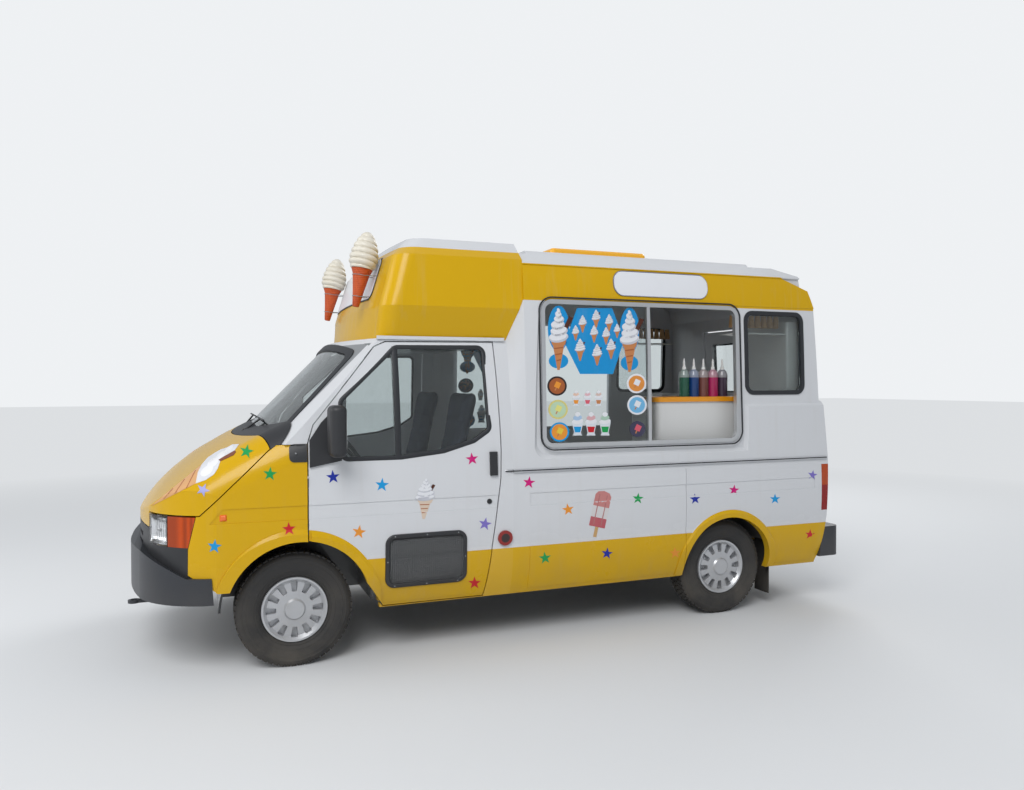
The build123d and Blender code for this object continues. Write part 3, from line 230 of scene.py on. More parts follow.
def use(tree, group, **values):
    """Place a group in a tree, and set or link its inputs by name."""
    node = tree.nodes.new("ShaderNodeGroup")
    node.node_tree = group
    for label, value in values.items():
        feed(tree, value, node.inputs[label.replace("_", " ")])
    return node.outputs


def relief(tree, height, strength, distance=0.001):
    """A bump normal from a height."""
    node = tree.nodes.new("ShaderNodeBump")
    node.inputs["Strength"].default_value = strength
    node.inputs["Distance"].default_value = distance
    tree.links.new(height, node.inputs["Height"])
    return node.outputs["Normal"]


COLOUR = "NodeSocketColor"
NUMBER = "NodeSocketFloat"

# %% [markdown]
# Three effects return on many pieces of a working van. Road film is dust that thickens towards the
# ground and gathers in patches. Grain is the fine mottling of moulded plastic, rubber and cloth.
# Weathering is the faint streaking that rain leaves below edges on the pale panels. Each is one
# group, built once.

# %% Shared effects
road_film, given, made = shader_group(
    "road_film",
    [("Colour", COLOUR, (0.8, 0.8, 0.8, 1)), ("Dust", COLOUR, (0.21, 0.18, 0.14, 1)),
     ("Top", NUMBER, 0.75), ("Amount", NUMBER, 0.35)],
    [("Colour", COLOUR), ("Mask", NUMBER)])
where, _, _, height = position(road_film)
patches = ramp(road_film, noise(road_film, where, 3.5, 5.0, 0.6), 0.32, 0.72)
fall = ramp(road_film, height, given["Top"], 0.12)
mask = calc(road_film, "MULTIPLY", calc(road_film, "POWER", fall, 1.6), patches)
mask = calc(road_film, "MULTIPLY", mask, given["Amount"])
feed(road_film, tint(road_film, mask, given["Colour"], given["Dust"]), made["Colour"])
feed(road_film, mask, made["Mask"])

grain, given, made = shader_group(
    "grain",
    [("Colour", COLOUR, (0.5, 0.5, 0.5, 1)), ("Scale", NUMBER, 300.0), ("Contrast", NUMBER, 0.2)],
    [("Colour", COLOUR), ("Height", NUMBER)])
where, _, _, _ = position(grain)
fine = noise(grain, where, given["Scale"], 3.0, 0.6)
broad = noise(grain, where, 4.0, 3.0, 0.5)
spread = calc(grain, "ADD", calc(grain, "MULTIPLY", fine, 0.5), calc(grain, "MULTIPLY", broad, 0.5))
shift = calc(grain, "MULTIPLY", calc(grain, "SUBTRACT", spread, 0.5), given["Contrast"])
lighter = grain.nodes.new("ShaderNodeVectorMath")
lighter.operation = "SCALE"
grain.links.new(given["Colour"], lighter.inputs[0])
feed(grain, calc(grain, "ADD", shift, 1.0), lighter.inputs["Scale"])
feed(grain, lighter.outputs[0], made["Colour"])
feed(grain, fine, made["Height"])

weather, given, made = shader_group(
    "weather",
    [("Colour", COLOUR, (0.8, 0.8, 0.8, 1)), ("Stain", COLOUR, (0.45, 0.40, 0.33, 1)),
     ("Amount", NUMBER, 0.12)],
    [("Colour", COLOUR), ("Mask", NUMBER)])
where, _, _, _ = position(weather)
runs = noise(weather, stretched(weather, where, (22, 22, 1.1)), 1.0, 4.0, 0.6)
clouds = noise(weather, where, 1.7, 3.0, 0.5)
mask = calc(weather, "MULTIPLY", ramp(weather, runs, 0.52, 0.78), ramp(weather, clouds, 0.35, 0.7))
mask = calc(weather, "MULTIPLY", mask, given["Amount"])
feed(weather, tint(weather, mask, given["Colour"], given["Stain"]), made["Colour"])
feed(weather, mask, made["Mask"])
print("shared effects:", [group.name for group in bpy.data.node_groups])

# %% [markdown]
# The van is white with a yellow nose, yellow wheel arches and a yellow strip along the sills, and
# its moulded top wears a yellow band and a yellow luton. A real painter masks these with tape. A
# shader can do the same from Object coordinates, because every piece keeps its place in the
# shared frame: one group works out where tape would have run, and each painted piece uses it.

# %% Paint zones
sill_break_z = 0.579
arches = ((front_axle_x + 0.020, 0.452), (rear_axle_x + 0.022, 0.396))
arch_centre_z = 0.318
band_low_z = 2.075
band_high_z = 2.303
luton_white_z = 2.372
# Halfway through the leaning rear wall: its length, the height that goes with it, and its lean
tail_middle = (rear_axle_x + 0.746, 2.095, 0.39)
# Above this height the wall turns in more
tail_bend = (2.213, 2.2)
tail_slope_x = front_axle_x + 3.310
tail_slope = 0.369

paint_zones, given, made = shader_group(
    "paint_zones", [], [("Sides", NUMBER), ("Band", NUMBER), ("Luton", NUMBER)])
_, along, over, height = position(paint_zones)
sides = calc(paint_zones, "LESS_THAN", height, sill_break_z)
for centre, radius in arches:
    away_x = calc(paint_zones, "SUBTRACT", along, centre)
    away_z = calc(paint_zones, "SUBTRACT", height, arch_centre_z)
    square = calc(paint_zones, "ADD", calc(paint_zones, "MULTIPLY", away_x, away_x),
                  calc(paint_zones, "MULTIPLY", away_z, away_z))
    sides = calc(paint_zones, "MAXIMUM", sides, calc(paint_zones, "LESS_THAN", square, radius * radius))
feed(paint_zones, sides, made["Sides"])
above = calc(paint_zones, "GREATER_THAN", height, band_low_z)
past = calc(paint_zones, "MAXIMUM", calc(paint_zones, "SUBTRACT", along, tail_slope_x), 0.0)
limit = calc(paint_zones, "MULTIPLY_ADD", past, -tail_slope, band_high_z)
below = calc(paint_zones, "LESS_THAN", height, limit)
outside = calc(paint_zones, "GREATER_THAN", calc(paint_zones, "ABSOLUTE", over), 0.862)
rise = calc(paint_zones, "SUBTRACT", height, tail_middle[1])
wall = calc(paint_zones, "MULTIPLY_ADD", rise, -tail_middle[2], tail_middle[0])
turn_in = calc(paint_zones, "MAXIMUM", calc(paint_zones, "SUBTRACT", height, tail_bend[0]), 0.0)
wall = calc(paint_zones, "MULTIPLY_ADD", turn_in, -tail_bend[1], wall)
outside = calc(paint_zones, "MAXIMUM", outside, calc(paint_zones, "GREATER_THAN", along, wall))
band = calc(paint_zones, "MULTIPLY", calc(paint_zones, "MULTIPLY", above, below), outside)
feed(paint_zones, band, made["Band"])
feed(paint_zones, calc(paint_zones, "LESS_THAN", height, luton_white_z), made["Luton"])

# %% Paint
van_white = (0.60, 0.61, 0.63, 1)
van_yellow = (0.60, 0.350, 0.0005, 1)
under_black = (0.022, 0.023, 0.025, 1)


def paint(name, zone, film=0.25, streaks=0.10):
    """Gloss coachwork in white and yellow, parted by one of the zones."""
    made, tree, shader = material(name, 0.30, 0.0, 0.14)
    shader.inputs["Specular IOR Level"].default_value = 0.22
    if zone == "all":
        colour = van_yellow
    else:
        colour = tint(tree, use(tree, paint_zones)[zone], van_white, van_yellow)
    aged = use(tree, weather, Colour=colour, Amount=streaks)
    dusty = use(tree, road_film, Colour=aged["Colour"], Amount=film)
    feed(tree, dusty["Colour"], shader.inputs["Base Color"])
    ripple = noise(tree, position(tree)[0], 420.0, 2.0)
    feed(tree, relief(tree, ripple, 0.06, 0.0004), shader.inputs["Normal"])
    dull = calc(tree, "ADD", calc(tree, "MULTIPLY", dusty["Mask"], 0.9), 0.26)
    feed(tree, dull, shader.inputs["Roughness"])
    return made


nose_paint = paint("nose_paint", "all", 0.30)
side_paint = paint("side_paint", "Sides", 0.45)
band_paint = paint("band_paint", "Band", 0.0, 0.16)
luton_paint = paint("luton_paint", "Luton", 0.0, 0.16)

# Pillars are white, and the hidden parts of the cab's frame are under black
frame_paint, tree, shader = material("frame_paint", 0.32, 0.0, 0.4)
_, along, over, height = position(tree)
low = calc(tree, "LESS_THAN", height, 1.05)
ahead_of_door = calc(tree, "LESS_THAN", along, front_axle_x + 0.45)
hidden = calc(tree, "MULTIPLY", low, ahead_of_door)
colour = tint(tree, use(tree, paint_zones)["Sides"], van_white, van_yellow)
inside = calc(tree, "LESS_THAN", calc(tree, "ABSOLUTE", over), 0.775)
colour = tint(tree, calc(tree, "MULTIPLY", inside, calc(tree, "LESS_THAN", height, 1.80)), colour,
              (0.20, 0.21, 0.22, 1))
colour = tint(tree, hidden, colour, under_black)
feed(tree, use(tree, weather, Colour=colour)["Colour"], shader.inputs["Base Color"])

# %% [markdown]
# The rest of the van is plastic, rubber, glass, bare metal and cloth. Each of these gets its own
# grain at its own scale, and most of them get road film, because only a few stay clean on a van.


# %% Plastics, rubber and metals
def grained(name, colour, roughness=0.5, metallic=0.0, scale=350.0, contrast=0.25, bump=0.2, film=0.2,
            coat=0.0):
    """A mottled finish with fine relief and road film."""
    made, tree, shader = material(name, roughness, metallic, coat)
    mottled = use(tree, grain, Colour=(*colour, 1), Scale=scale, Contrast=contrast)
    dusty = use(tree, road_film, Colour=mottled["Colour"], Amount=film)
    feed(tree, dusty["Colour"], shader.inputs["Base Color"])
    feed(tree, relief(tree, mottled["Height"], bump, 0.0006), shader.inputs["Normal"])
    rough = calc(tree, "MULTIPLY_ADD", calc(tree, "SUBTRACT", mottled["Height"], 0.5), 0.25, roughness)
    feed(tree, rough, shader.inputs["Roughness"])
    return made


black_plastic = grained("black_plastic", (0.020, 0.021, 0.024), 0.48, 0, 500, 0.4, 0.35, 0.12)
bumper_plastic = grained("bumper_plastic", (0.024, 0.027, 0.034), 0.42, 0, 420, 0.35, 0.4, 0.25)
seal_rubber = grained("seal_rubber", (0.014, 0.016, 0.020), 0.5, 0, 260, 0.3, 0.2, 0.05)
tyre_rubber = grained("tyre_rubber", (0.018, 0.018, 0.019), 0.72, 0, 320, 0.4, 0.4, 0.35)
hatch_plastic = grained("hatch_plastic", (0.86, 0.42, 0.015), 0.38, 0, 200, 0.12, 0.1, 0.0, 0.2)
moulded_white = grained("moulded_white", (0.62, 0.62, 0.61), 0.35, 0, 250, 0.05, 0.06, 0.0, 0.2)
sign_white = grained("sign_white", (0.72, 0.73, 0.76), 0.35, 0, 180, 0.04, 0.05, 0.0)
under_paint = grained("under_paint", (0.028, 0.028, 0.030), 0.75, 0, 60, 0.5, 0.6, 0.7)
cast_iron = grained("cast_iron", (0.075, 0.070, 0.066), 0.7, 0.4, 90, 0.5, 0.6, 0.6)
hot_steel = grained("hot_steel", (0.22, 0.17, 0.13), 0.5, 0.8, 40, 0.6, 0.3, 0.5)
trim_silver = grained("trim_silver", (0.50, 0.51, 0.53), 0.36, 0.55, 300, 0.12, 0.1, 0.35)
seat_cloth = grained("seat_cloth", (0.035, 0.042, 0.065), 0.95, 0, 700, 0.9, 0.6, 0.0)
dash_plastic = grained("dash_plastic", (0.055, 0.057, 0.060), 0.6, 0, 600, 0.3, 0.4, 0.0)

# The fuel cap: a faded red ring round a dark turning piece
cap_red, tree, shader = material("cap_red", 0.42)
_, along, _, height = position(tree)
away_x = calc(tree, "SUBTRACT", along, front_axle_x + 1.216)
away_z = calc(tree, "SUBTRACT", height, 0.642)
away = calc(tree, "SQRT", calc(tree, "ADD", calc(tree, "MULTIPLY", away_x, away_x),
                               calc(tree, "MULTIPLY", away_z, away_z)))
tone = tint(tree, calc(tree, "GREATER_THAN", away, 0.027), (0.035, 0.022, 0.022, 1), (0.26, 0.020, 0.016, 1))
feed(tree, use(tree, grain, Colour=tone, Scale=300.0, Contrast=0.25)["Colour"], shader.inputs["Base Color"])

# Drawn aluminium: fine lines along the strip
aluminium, tree, shader = material("aluminium", 0.32, 0.85)
where = position(tree)[0]
lines = noise(tree, stretched(tree, where, (3, 900, 900)), 1.0, 3.0)
shine = tint(tree, lines, (0.52, 0.53, 0.55, 1), (0.66, 0.67, 0.68, 1))
aged = use(tree, weather, Colour=shine, Amount=0.2)["Colour"]
_, _, over, height = position(tree)
insert = calc(tree, "MULTIPLY", calc(tree, "GREATER_THAN", height, 1.0365),
              calc(tree, "LESS_THAN", height, 1.0435))
feed(tree, tint(tree, insert, aged, (0.05, 0.05, 0.055, 1)), shader.inputs["Base Color"])
feed(tree, calc(tree, "MULTIPLY_ADD", lines, 0.25, 0.22), shader.inputs["Roughness"])

# Baked wafer: a squared pattern pressed into the cone, browner along its ridges
wafer, tree, shader = material("wafer", 0.6)
where, along, over, height = position(tree)
squares = calc(tree, "MULTIPLY",
               calc(tree, "SINE", calc(tree, "MULTIPLY", calc(tree, "ADD", height, over), 260.0)),
               calc(tree, "SINE", calc(tree, "MULTIPLY", calc(tree, "SUBTRACT", height, over), 260.0)))
ridges = ramp(tree, squares, -0.2, 0.5)
baked = tint(tree, ridges, (0.52, 0.080, 0.010, 1), (0.45, 0.062, 0.008, 1))
feed(tree, use(tree, grain, Colour=baked, Scale=120.0, Contrast=0.3)["Colour"], shader.inputs["Base Color"])
feed(tree, relief(tree, ridges, 0.5, 0.003), shader.inputs["Normal"])

# The raised unit on the counter is white, with an orange rim round its top
counter_top, tree, shader = material("counter_top", 0.35, 0.0, 0.2)
height = position(tree)[3]
tone = tint(tree, calc(tree, "GREATER_THAN", height, 1.4395), (0.62, 0.62, 0.61, 1), (0.70, 0.27, 0.004, 1))
feed(tree, use(tree, grain, Colour=tone, Scale=250.0, Contrast=0.06)["Colour"], shader.inputs["Base Color"])

# Syrup bottles: one clear shape each, dark where the syrup stands in it, with a white cap
syrup, tree, shader = material("syrup", 0.22, 0.0, 0.3)
_, along, _, height = position(tree)
tone = (0.010, 0.085, 0.050, 1)
for edge, colour in ((2.730, (0.008, 0.045, 0.18, 1)), (2.810, (0.16, 0.055, 0.045, 1)),
                     (2.890, (0.40, 0.02, 0.11, 1)), (2.970, (0.045, 0.025, 0.05, 1))):
    tone = tint(tree, calc(tree, "GREATER_THAN", along, front_axle_x + edge), tone, colour)
empty = tint(tree, 0.45, tone, (0.55, 0.58, 0.60, 1))
tone = tint(tree, calc(tree, "GREATER_THAN", height, 1.606), tone, empty)
tone = tint(tree, calc(tree, "GREATER_THAN", height, 1.662), tone, (0.76, 0.76, 0.75, 1))
feed(tree, use(tree, grain, Colour=tone, Scale=60.0, Contrast=0.15)["Colour"], shader.inputs["Base Color"])

# Moulded ice cream: glossy, with a warmer tone in its folds
cream, tree, shader = material("cream", 0.42, 0.0, 0.15)
where = position(tree)[0]
folds = noise(tree, where, 18.0, 3.0)
tone = tint(tree, folds, (0.62, 0.57, 0.46, 1), (0.72, 0.69, 0.62, 1))
feed(tree, use(tree, weather, Colour=tone, Amount=0.25)["Colour"], shader.inputs["Base Color"])

# %% [markdown]
# Safety glass is nearly clear, faintly grey-green, and on a working van slightly smeared in patches.
# Lamp lenses are coloured plastic with ribs pressed into them.


# %% Glass and lenses
def glass(name, colour, roughness=0.0):
    """A clear sheet: light passes, and the tint stays plain."""
    made, tree, shader = material(name, roughness)
    smear = noise(tree, position(tree)[0], 2.2, 5.0, 0.6)
    feed(tree, tint(tree, smear, (*colour, 1), (*(0.93 * c for c in colour), 1)), shader.inputs["Base Color"])
    feed(tree, calc(tree, "MULTIPLY", ramp(tree, smear, 0.5, 0.85), 0.07), shader.inputs["Roughness"])
    shader.inputs["Transmission Weight"].default_value = 1.0
    shader.inputs["IOR"].default_value = 1.45
    return made


clear_glass = glass("clear_glass", (0.70, 0.75, 0.75))
lens_glass = glass("lens_glass", (0.93, 0.94, 0.95))

# One material colours every lamp by its place: amber at the front and high at the back, red below
lamp_lens, tree, shader = material("lamp_lens", 0.12, 0.0, 0.1)
shader.inputs["Specular IOR Level"].default_value = 0.3
where, along, over, height = position(tree)
at_back = calc(tree, "GREATER_THAN", along, 0.0)
low_half = calc(tree, "LESS_THAN", height, 0.845)
red = calc(tree, "MULTIPLY", at_back, low_half)
colour = tint(tree, red, (0.50, 0.060, 0.002, 1), (0.30, 0.006, 0.006, 1))
# The ribs also darken the lens colour in stripes: painted shade along the ribs, over their real bump relief.
ribs = calc(tree, "SINE", calc(tree, "MULTIPLY", calc(tree, "ADD", over, along), 520.0))
shade = tint(tree, ramp(tree, ribs, -1.0, 1.0), (0.62, 0.62, 0.62, 1), (1, 1, 1, 1))
product = tree.nodes.new("ShaderNodeMix")
product.data_type = "RGBA"
product.blend_type = "MULTIPLY"
product.inputs["Factor"].default_value = 1.0
feed(tree, colour, product.inputs["A"])
feed(tree, shade, product.inputs["B"])
feed(tree, product.outputs["Result"], shader.inputs["Base Color"])
feed(tree, relief(tree, ribs, 0.4, 0.002), shader.inputs["Normal"])

# The floor is plain near the van, and fades into the pale backdrop where the lamps no longer reach
floor_paint, tree, shader = material("floor_paint", 0.9)
where, along, over, _ = position(tree)
ground = noise(tree, where, 0.35, 3.0)
feed(tree, tint(tree, ground, (0.67, 0.68, 0.69, 1), (0.70, 0.71, 0.72, 1)), shader.inputs["Base Color"])
square = calc(tree, "ADD", calc(tree, "MULTIPLY", along, along), calc(tree, "MULTIPLY", over, over))
far_off = ramp(tree, calc(tree, "SQRT", square), 3.2, 11.0)
path = tree.nodes.new("ShaderNodeLightPath")
seen = calc(tree, "MAXIMUM", path.outputs["Is Camera Ray"], path.outputs["Is Transmission Ray"])
seen = calc(tree, "MAXIMUM", seen, path.outputs["Is Glossy Ray"])
glow = tree.nodes.new("ShaderNodeEmission")
glow.inputs["Color"].default_value = (0.72, 0.74, 0.76, 1)
join = tree.nodes.new("ShaderNodeMixShader")
tree.links.new(calc(tree, "MULTIPLY", far_off, seen), join.inputs["Fac"])
tree.links.new(shader.outputs["BSDF"], join.inputs[1])
tree.links.new(glow.outputs["Emission"], join.inputs[2])
tree.links.new(join.outputs["Shader"], tree.nodes["Material Output"].inputs["Surface"])
floor.data.materials.append(floor_paint)

# %% Finishes of the carried-over pieces
finishes = {
    "wings": nose_paint, "bonnet": nose_paint, "door_left": side_paint, "door_right": side_paint,
    "lower_body": side_paint, "rear_door": side_paint, "upper_body": band_paint, "luton": luton_paint,
    "cab_frame": frame_paint, "roof_hatch": hatch_plastic,
    "scuttle": black_plastic, "front_panel": black_plastic, "front_bumper": bumper_plastic,
    "rear_bumper": bumper_plastic, "mirror_left": black_plastic, "mirror_right": black_plastic,
    "mudflaps": tyre_rubber, "headlamps": lens_glass, "signal_lamps": lamp_lens,
    "window_glass": clear_glass, "door_glass_left": clear_glass, "door_glass_right": clear_glass,
    "rear_door_glass": clear_glass, "window_seals": seal_rubber, "aluminium_trim": aluminium,
    "door_vent": black_plastic, "fuel_cap": cap_red, "name_plates": sign_white,
    "counter": counter_top, "cabinet": moulded_white, "bottles": syrup,
    "seats": seat_cloth, "dashboard": dash_plastic, "engine_block": cast_iron, "crossmember": under_paint,
    "knuckle_left": cast_iron, "knuckle_right": cast_iron, "rear_axle": under_paint,
    "floor_pan": under_paint, "fuel_tank": under_paint, "exhaust": hot_steel,
    "cone_wafers": wafer, "cone_swirls": cream,
}
for name, piece in nodes.items():
    kind = name.split("_")[0]
    finish = finishes.get(name) or {"tyre": tyre_rubber, "wheel": trim_silver}[kind]
    piece.data.materials.clear()
    piece.data.materials.append(finish)
print("finishes on", len(nodes), "nodes")

# %% [markdown]
# Stickers are cut vinyl: thin, flat coloured shapes that follow the panel under them. Each one is
# drawn as an outline on the photograph's own plane and thrown from the camera onto the panel,
# which is how a sign writer's projector works. The far side has no photograph, so the same throw
# is mirrored and given its own layout. Every shape keeps its colour in an attribute, so one
# printed-vinyl material serves them all.


# %% Surfaces that carry something
def surface(*names):
    """A search tree over the faces of CAD nodes."""
    points = []
    faces = []
    for name in names:
        start = len(points)
        mesh = nodes[name].data
        points += [vertex.co.copy() for vertex in mesh.vertices]
        faces += [[start + index for index in polygon.vertices] for polygon in mesh.polygons]
    return BVHTree.FromPolygons(points, faces)


skins = {
    "bonnet": surface("bonnet"),
    "body": surface("wings", "lower_body", "upper_body", "luton"),
    "door_left": surface("door_left"),
    "door_right": surface("door_right"),
    "pane": surface("window_glass"),
}


def sight(across_px, down_px, far_side=False):
    """The camera's ray through a pixel of the photograph, or its mirror image for the far side."""
    u = (across_px - photo_wide / 2) / focal_px
    v = (down_px - photo_high / 2) / focal_px
    direction = ahead + right * u + down * v
    origin = camera_place.copy()
    if far_side:
        origin.y = -origin.y
        direction.y = -direction.y
    return origin, direction.normalized()


def landing(skin, across_px, down_px, far_side=False):
    """Where a pixel's ray meets a surface, and which way the surface faces."""
    origin, direction = sight(across_px, down_px, far_side)
    place, normal, _, _ = skins[skin].ray_cast(origin, direction)
    if place is None:
        return None, None
    return place, normal if normal.dot(direction) < 0 else -normal


# %% Vinyl shapes
vinyl = {}


def vinyl_mesh(body):
    """The one mesh that gathers every sticker of a body."""
    if body not in vinyl:
        shapes = bmesh.new()
        vinyl[body] = (shapes, shapes.loops.layers.float_color.new("ink"))
    return vinyl[body]


def stick(body, skin, outline, colour, layer=1, far_side=False, step=4.0):
    """Lay a closed outline, in photo pixels, onto a surface as a thin coloured sheet."""
    flat = bmesh.new()
    flat.faces.new([flat.verts.new((x, y, 0)) for x, y in outline])
    bmesh.ops.triangulate(flat, faces=flat.faces[:])
    for _ in range(5):
        long = [edge for edge in flat.edges if edge.calc_length() > step]
        if not long:
            break
        bmesh.ops.subdivide_edges(flat, edges=long, cuts=1, use_grid_fill=False)
        bmesh.ops.triangulate(flat, faces=flat.faces[:])
    lift = (0.0014 if body == "bonnet" else 0.0004) + 0.0003 * layer
    landed = {}
    for vertex in flat.verts:
        place, normal = landing(skin, vertex.co.x, vertex.co.y, far_side)
        if place is None:
            flat.free()
            return False
        landed[vertex] = (place, normal)
    shapes, ink = vinyl_mesh(body)
    top = {vertex: shapes.verts.new(place + normal * lift) for vertex, (place, normal) in landed.items()}
    low = {vertex: shapes.verts.new(place + normal * 0.0001) for vertex, (place, normal) in landed.items()}
    made = []
    for face in flat.faces:
        corners = list(face.verts)
        upper = shapes.faces.new([top[vertex] for vertex in corners])
        upper.normal_update()
        if upper.normal.dot(landed[corners[0]][1]) < 0:
            upper.normal_flip()
            made.append(shapes.faces.new([low[vertex] for vertex in corners]))
        else:
            made.append(shapes.faces.new([low[vertex] for vertex in reversed(corners)]))
        made.append(upper)
    for edge in flat.edges:
        if len(edge.link_faces) == 1:
            first, second = edge.verts
            made.append(shapes.faces.new([top[first], top[second], low[second], low[first]]))
    for face in made:
        for loop in face.loops:
            loop[ink] = (*colour, 1)
    flat.free()
    return True


def star(x, y, size, turned_by=0.0, inner=0.40):
    """The outline of a five-pointed star."""
    points = []
    for corner in range(10):
        reach = size if corner % 2 == 0 else size * inner
        angle = math.radians(turned_by - 90 + corner * 36)
        points.append((x + reach * math.cos(angle), y + reach * math.sin(angle)))
    return points


def oval(x, y, wide, high, turned_by=0.0, corners=20):
    """The outline of an ellipse, turned about its middle."""
    angle = math.radians(turned_by)
    points = []
    for corner in range(corners):
        around = corner * 2 * math.pi / corners
        a = wide / 2 * math.cos(around)
        b = high / 2 * math.sin(around)
        points.append((x + a * math.cos(angle) - b * math.sin(angle),
                       y + a * math.sin(angle) + b * math.cos(angle)))
    return points


def placed(points, x, y, size=1.0, turned_by=0.0):
    """An outline scaled, turned and moved into place."""
    angle = math.radians(turned_by)
    return [(x + size * (a * math.cos(angle) - b * math.sin(angle)),
             y + size * (a * math.sin(angle) + b * math.cos(angle))) for a, b in points]


# %% Star stickers
green = (0.012, 0.30, 0.075)
lavender = (0.36, 0.36, 0.66)
red = (0.52, 0.014, 0.022)
sky_blue = (0.010, 0.28, 0.60)
navy = (0.013, 0.028, 0.30)
magenta = (0.55, 0.010, 0.17)
orange = (0.72, 0.27, 0.035)
violet = (0.19, 0.15, 0.48)

# Each row: body, surface, pixel across, pixel down, colour, turn, size
near_stars = [
    ("bonnet", "bonnet", 246.5, 451.5, green, 12, 7.2),
    ("bonnet", "bonnet", 203.0, 490.0, lavender, 25, 7.0),
    ("body", "body", 270.0, 474.0, green, 5, 7.4),
    ("body", "body", 289.0, 529.0, red, -4, 7.2),
    ("body", "body", 214.5, 546.5, sky_blue, 6, 7.4),
    ("door_left", "door_left", 333.0, 477.0, navy, -5, 7.2),
    ("door_left", "door_left", 382.0, 485.0, sky_blue, 4, 7.2),
    ("door_left", "door_left", 472.0, 459.0, magenta, -6, 6.6),
    ("door_left", "door_left", 359.0, 532.0, orange, 8, 7.2),
    ("door_left", "door_left", 485.0, 524.0, violet, 10, 6.8),
    ("door_left", "door_left", 474.5, 583.0, red, 0, 6.6),
    ("body", "body", 529.0, 482.5, magenta, 6, 6.4),
    ("body", "body", 568.0, 509.5, orange, -8, 6.2),
    ("body", "body", 638.0, 498.5, green, 4, 5.8),
    ("body", "body", 695.0, 499.0, navy, -4, 5.6),
    ("body", "body", 734.0, 490.0, magenta, 5, 5.4),
    ("body", "body", 775.0, 499.0, sky_blue, 0, 5.4),
    ("body", "body", 812.5, 475.0, violet, 9, 5.0),
    ("body", "body", 545.0, 558.0, green, -6, 6.4),
    ("body", "body", 607.0, 553.5, navy, 7, 6.0),
    ("body", "body", 675.0, 553.0, orange, -3, 5.8),
    ("body", "body", 810.0, 534.5, red, 4, 5.2),
]
far_stars = [
    ("bonnet", "bonnet", 246.5, 453.0, magenta, -12, 7.2),
    ("bonnet", "bonnet", 200.0, 488.0, sky_blue, 8, 7.0),
    ("body", "body", 274.0, 470.0, orange, -9, 7.4),
    ("body", "body", 286.0, 527.0, navy, 4, 7.2),
    ("body", "body", 218.0, 549.0, green, -6, 7.4),
    ("door_right", "door_right", 338.0, 480.0, red, 5, 7.2),
    ("door_right", "door_right", 392.0, 488.0, violet, -4, 7.2),
    ("door_right", "door_right", 468.0, 462.0, green, 6, 6.6),
    ("door_right", "door_right", 366.0, 534.0, sky_blue, -8, 7.2),
    ("door_right", "door_right", 480.0, 521.0, orange, 3, 6.8),
    ("door_right", "door_right", 440.0, 586.0, magenta, 0, 6.6),
    ("body", "body", 534.0, 484.5, sky_blue, -6, 6.4),
    ("body", "body", 575.0, 512.0, violet, 8, 6.2),
    ("body", "body", 645.0, 496.0, red, -4, 5.8),
    ("body", "body", 699.0, 501.0, orange, 4, 5.6),
    ("body", "body", 738.0, 488.0, green, -5, 5.4),
    ("body", "body", 780.0, 497.0, magenta, 0, 5.4),
    ("body", "body", 551.0, 556.0, navy, 6, 6.4),
    ("body", "body", 613.0, 555.0, red, -7, 6.0),
    ("body", "body", 806.0, 533.0, sky_blue, -4, 5.2),
]
missed = 0
for far_side, rows in ((False, near_stars), (True, far_stars)):
    for body, skin, x, y, colour, angle, size in rows:
        if not stick(body, skin, star(x, y, size, angle), colour, 1, far_side):
            missed += 1
            print("star off its panel:", body, x, y, far_side)
print("stars laid:", len(near_stars) + len(far_stars) - missed)

# %% Soft cones, lollies and a window menu as drawings
paper_white = (0.70, 0.71, 0.74)
soft_shade = (0.50, 0.51, 0.56)
biscuit = (0.50, 0.20, 0.075)
biscuit_dark = (0.33, 0.10, 0.035)
chocolate = (0.075, 0.022, 0.012)
menu_blue = (0.010, 0.25, 0.56)
candy_pink = (0.62, 0.10, 0.14)

cone_outline = [(-0.20, 0.0), (0.20, 0.0), (0.17, 0.08), (0.14, 0.10), (0.03, 0.50), (-0.03, 0.50),
                (-0.14, 0.10),
                (-0.17, 0.08)]
curls = [(0.0, -0.035, 0.50, 0.17), (0.01, -0.135, 0.44, 0.16), (-0.01, -0.235, 0.35, 0.15),
         (0.01, -0.325, 0.25, 0.13),
         (0.0, -0.40, 0.15, 0.12), (0.005, -0.46, 0.07, 0.09)]
stick_of_chocolate = [(0.10, -0.30), (0.16, -0.28), (0.05, -0.05), (-0.01, -0.07)]


def draw_cone(body, skin, x, y, high, far_side=False, angle=0.0, layer=2, flake=True, biscuit_tone=biscuit,
              slim=1.0):
    """A soft ice cream in a cone, about its middle, as tall as given and as slim as given."""
    stick(body, skin, placed([(a * slim, b) for a, b in cone_outline], x, y, high, angle), biscuit_tone,
          layer, far_side)
    if high > 30:
        for part in (0.14, 0.24, 0.34):
            half = 0.13 * slim * (0.52 - part) / 0.42
            strip = [(-half, part), (half, part - 0.02), (half, part), (-half, part + 0.02)]
            stick(body, skin, placed(strip, x, y, high, angle), biscuit_dark, layer + 1, far_side)
    if flake:
        stick(body, skin, placed(stick_of_chocolate, x + 0.06 * high, y - 0.05 * high, high * 1.1, angle),
              chocolate,
              layer + 1, far_side)
    for order, (a, b, wide, tall) in enumerate(curls):
        wide = wide * slim
        (cx, cy), = placed([(a, b)], x, y, high, angle)
        dim = oval(cx, cy, wide * high, tall * high, angle - 9)
        (lx, ly), = placed([(a - 0.012, b - 0.018)], x, y, high, angle)
        lit = oval(lx, ly, wide * high * 0.93, tall * high * 0.80, angle - 9)
        stick(body, skin, dim, soft_shade, layer + 2 + order, far_side)
        stick(body, skin, lit, paper_white, layer + 3 + order, far_side)


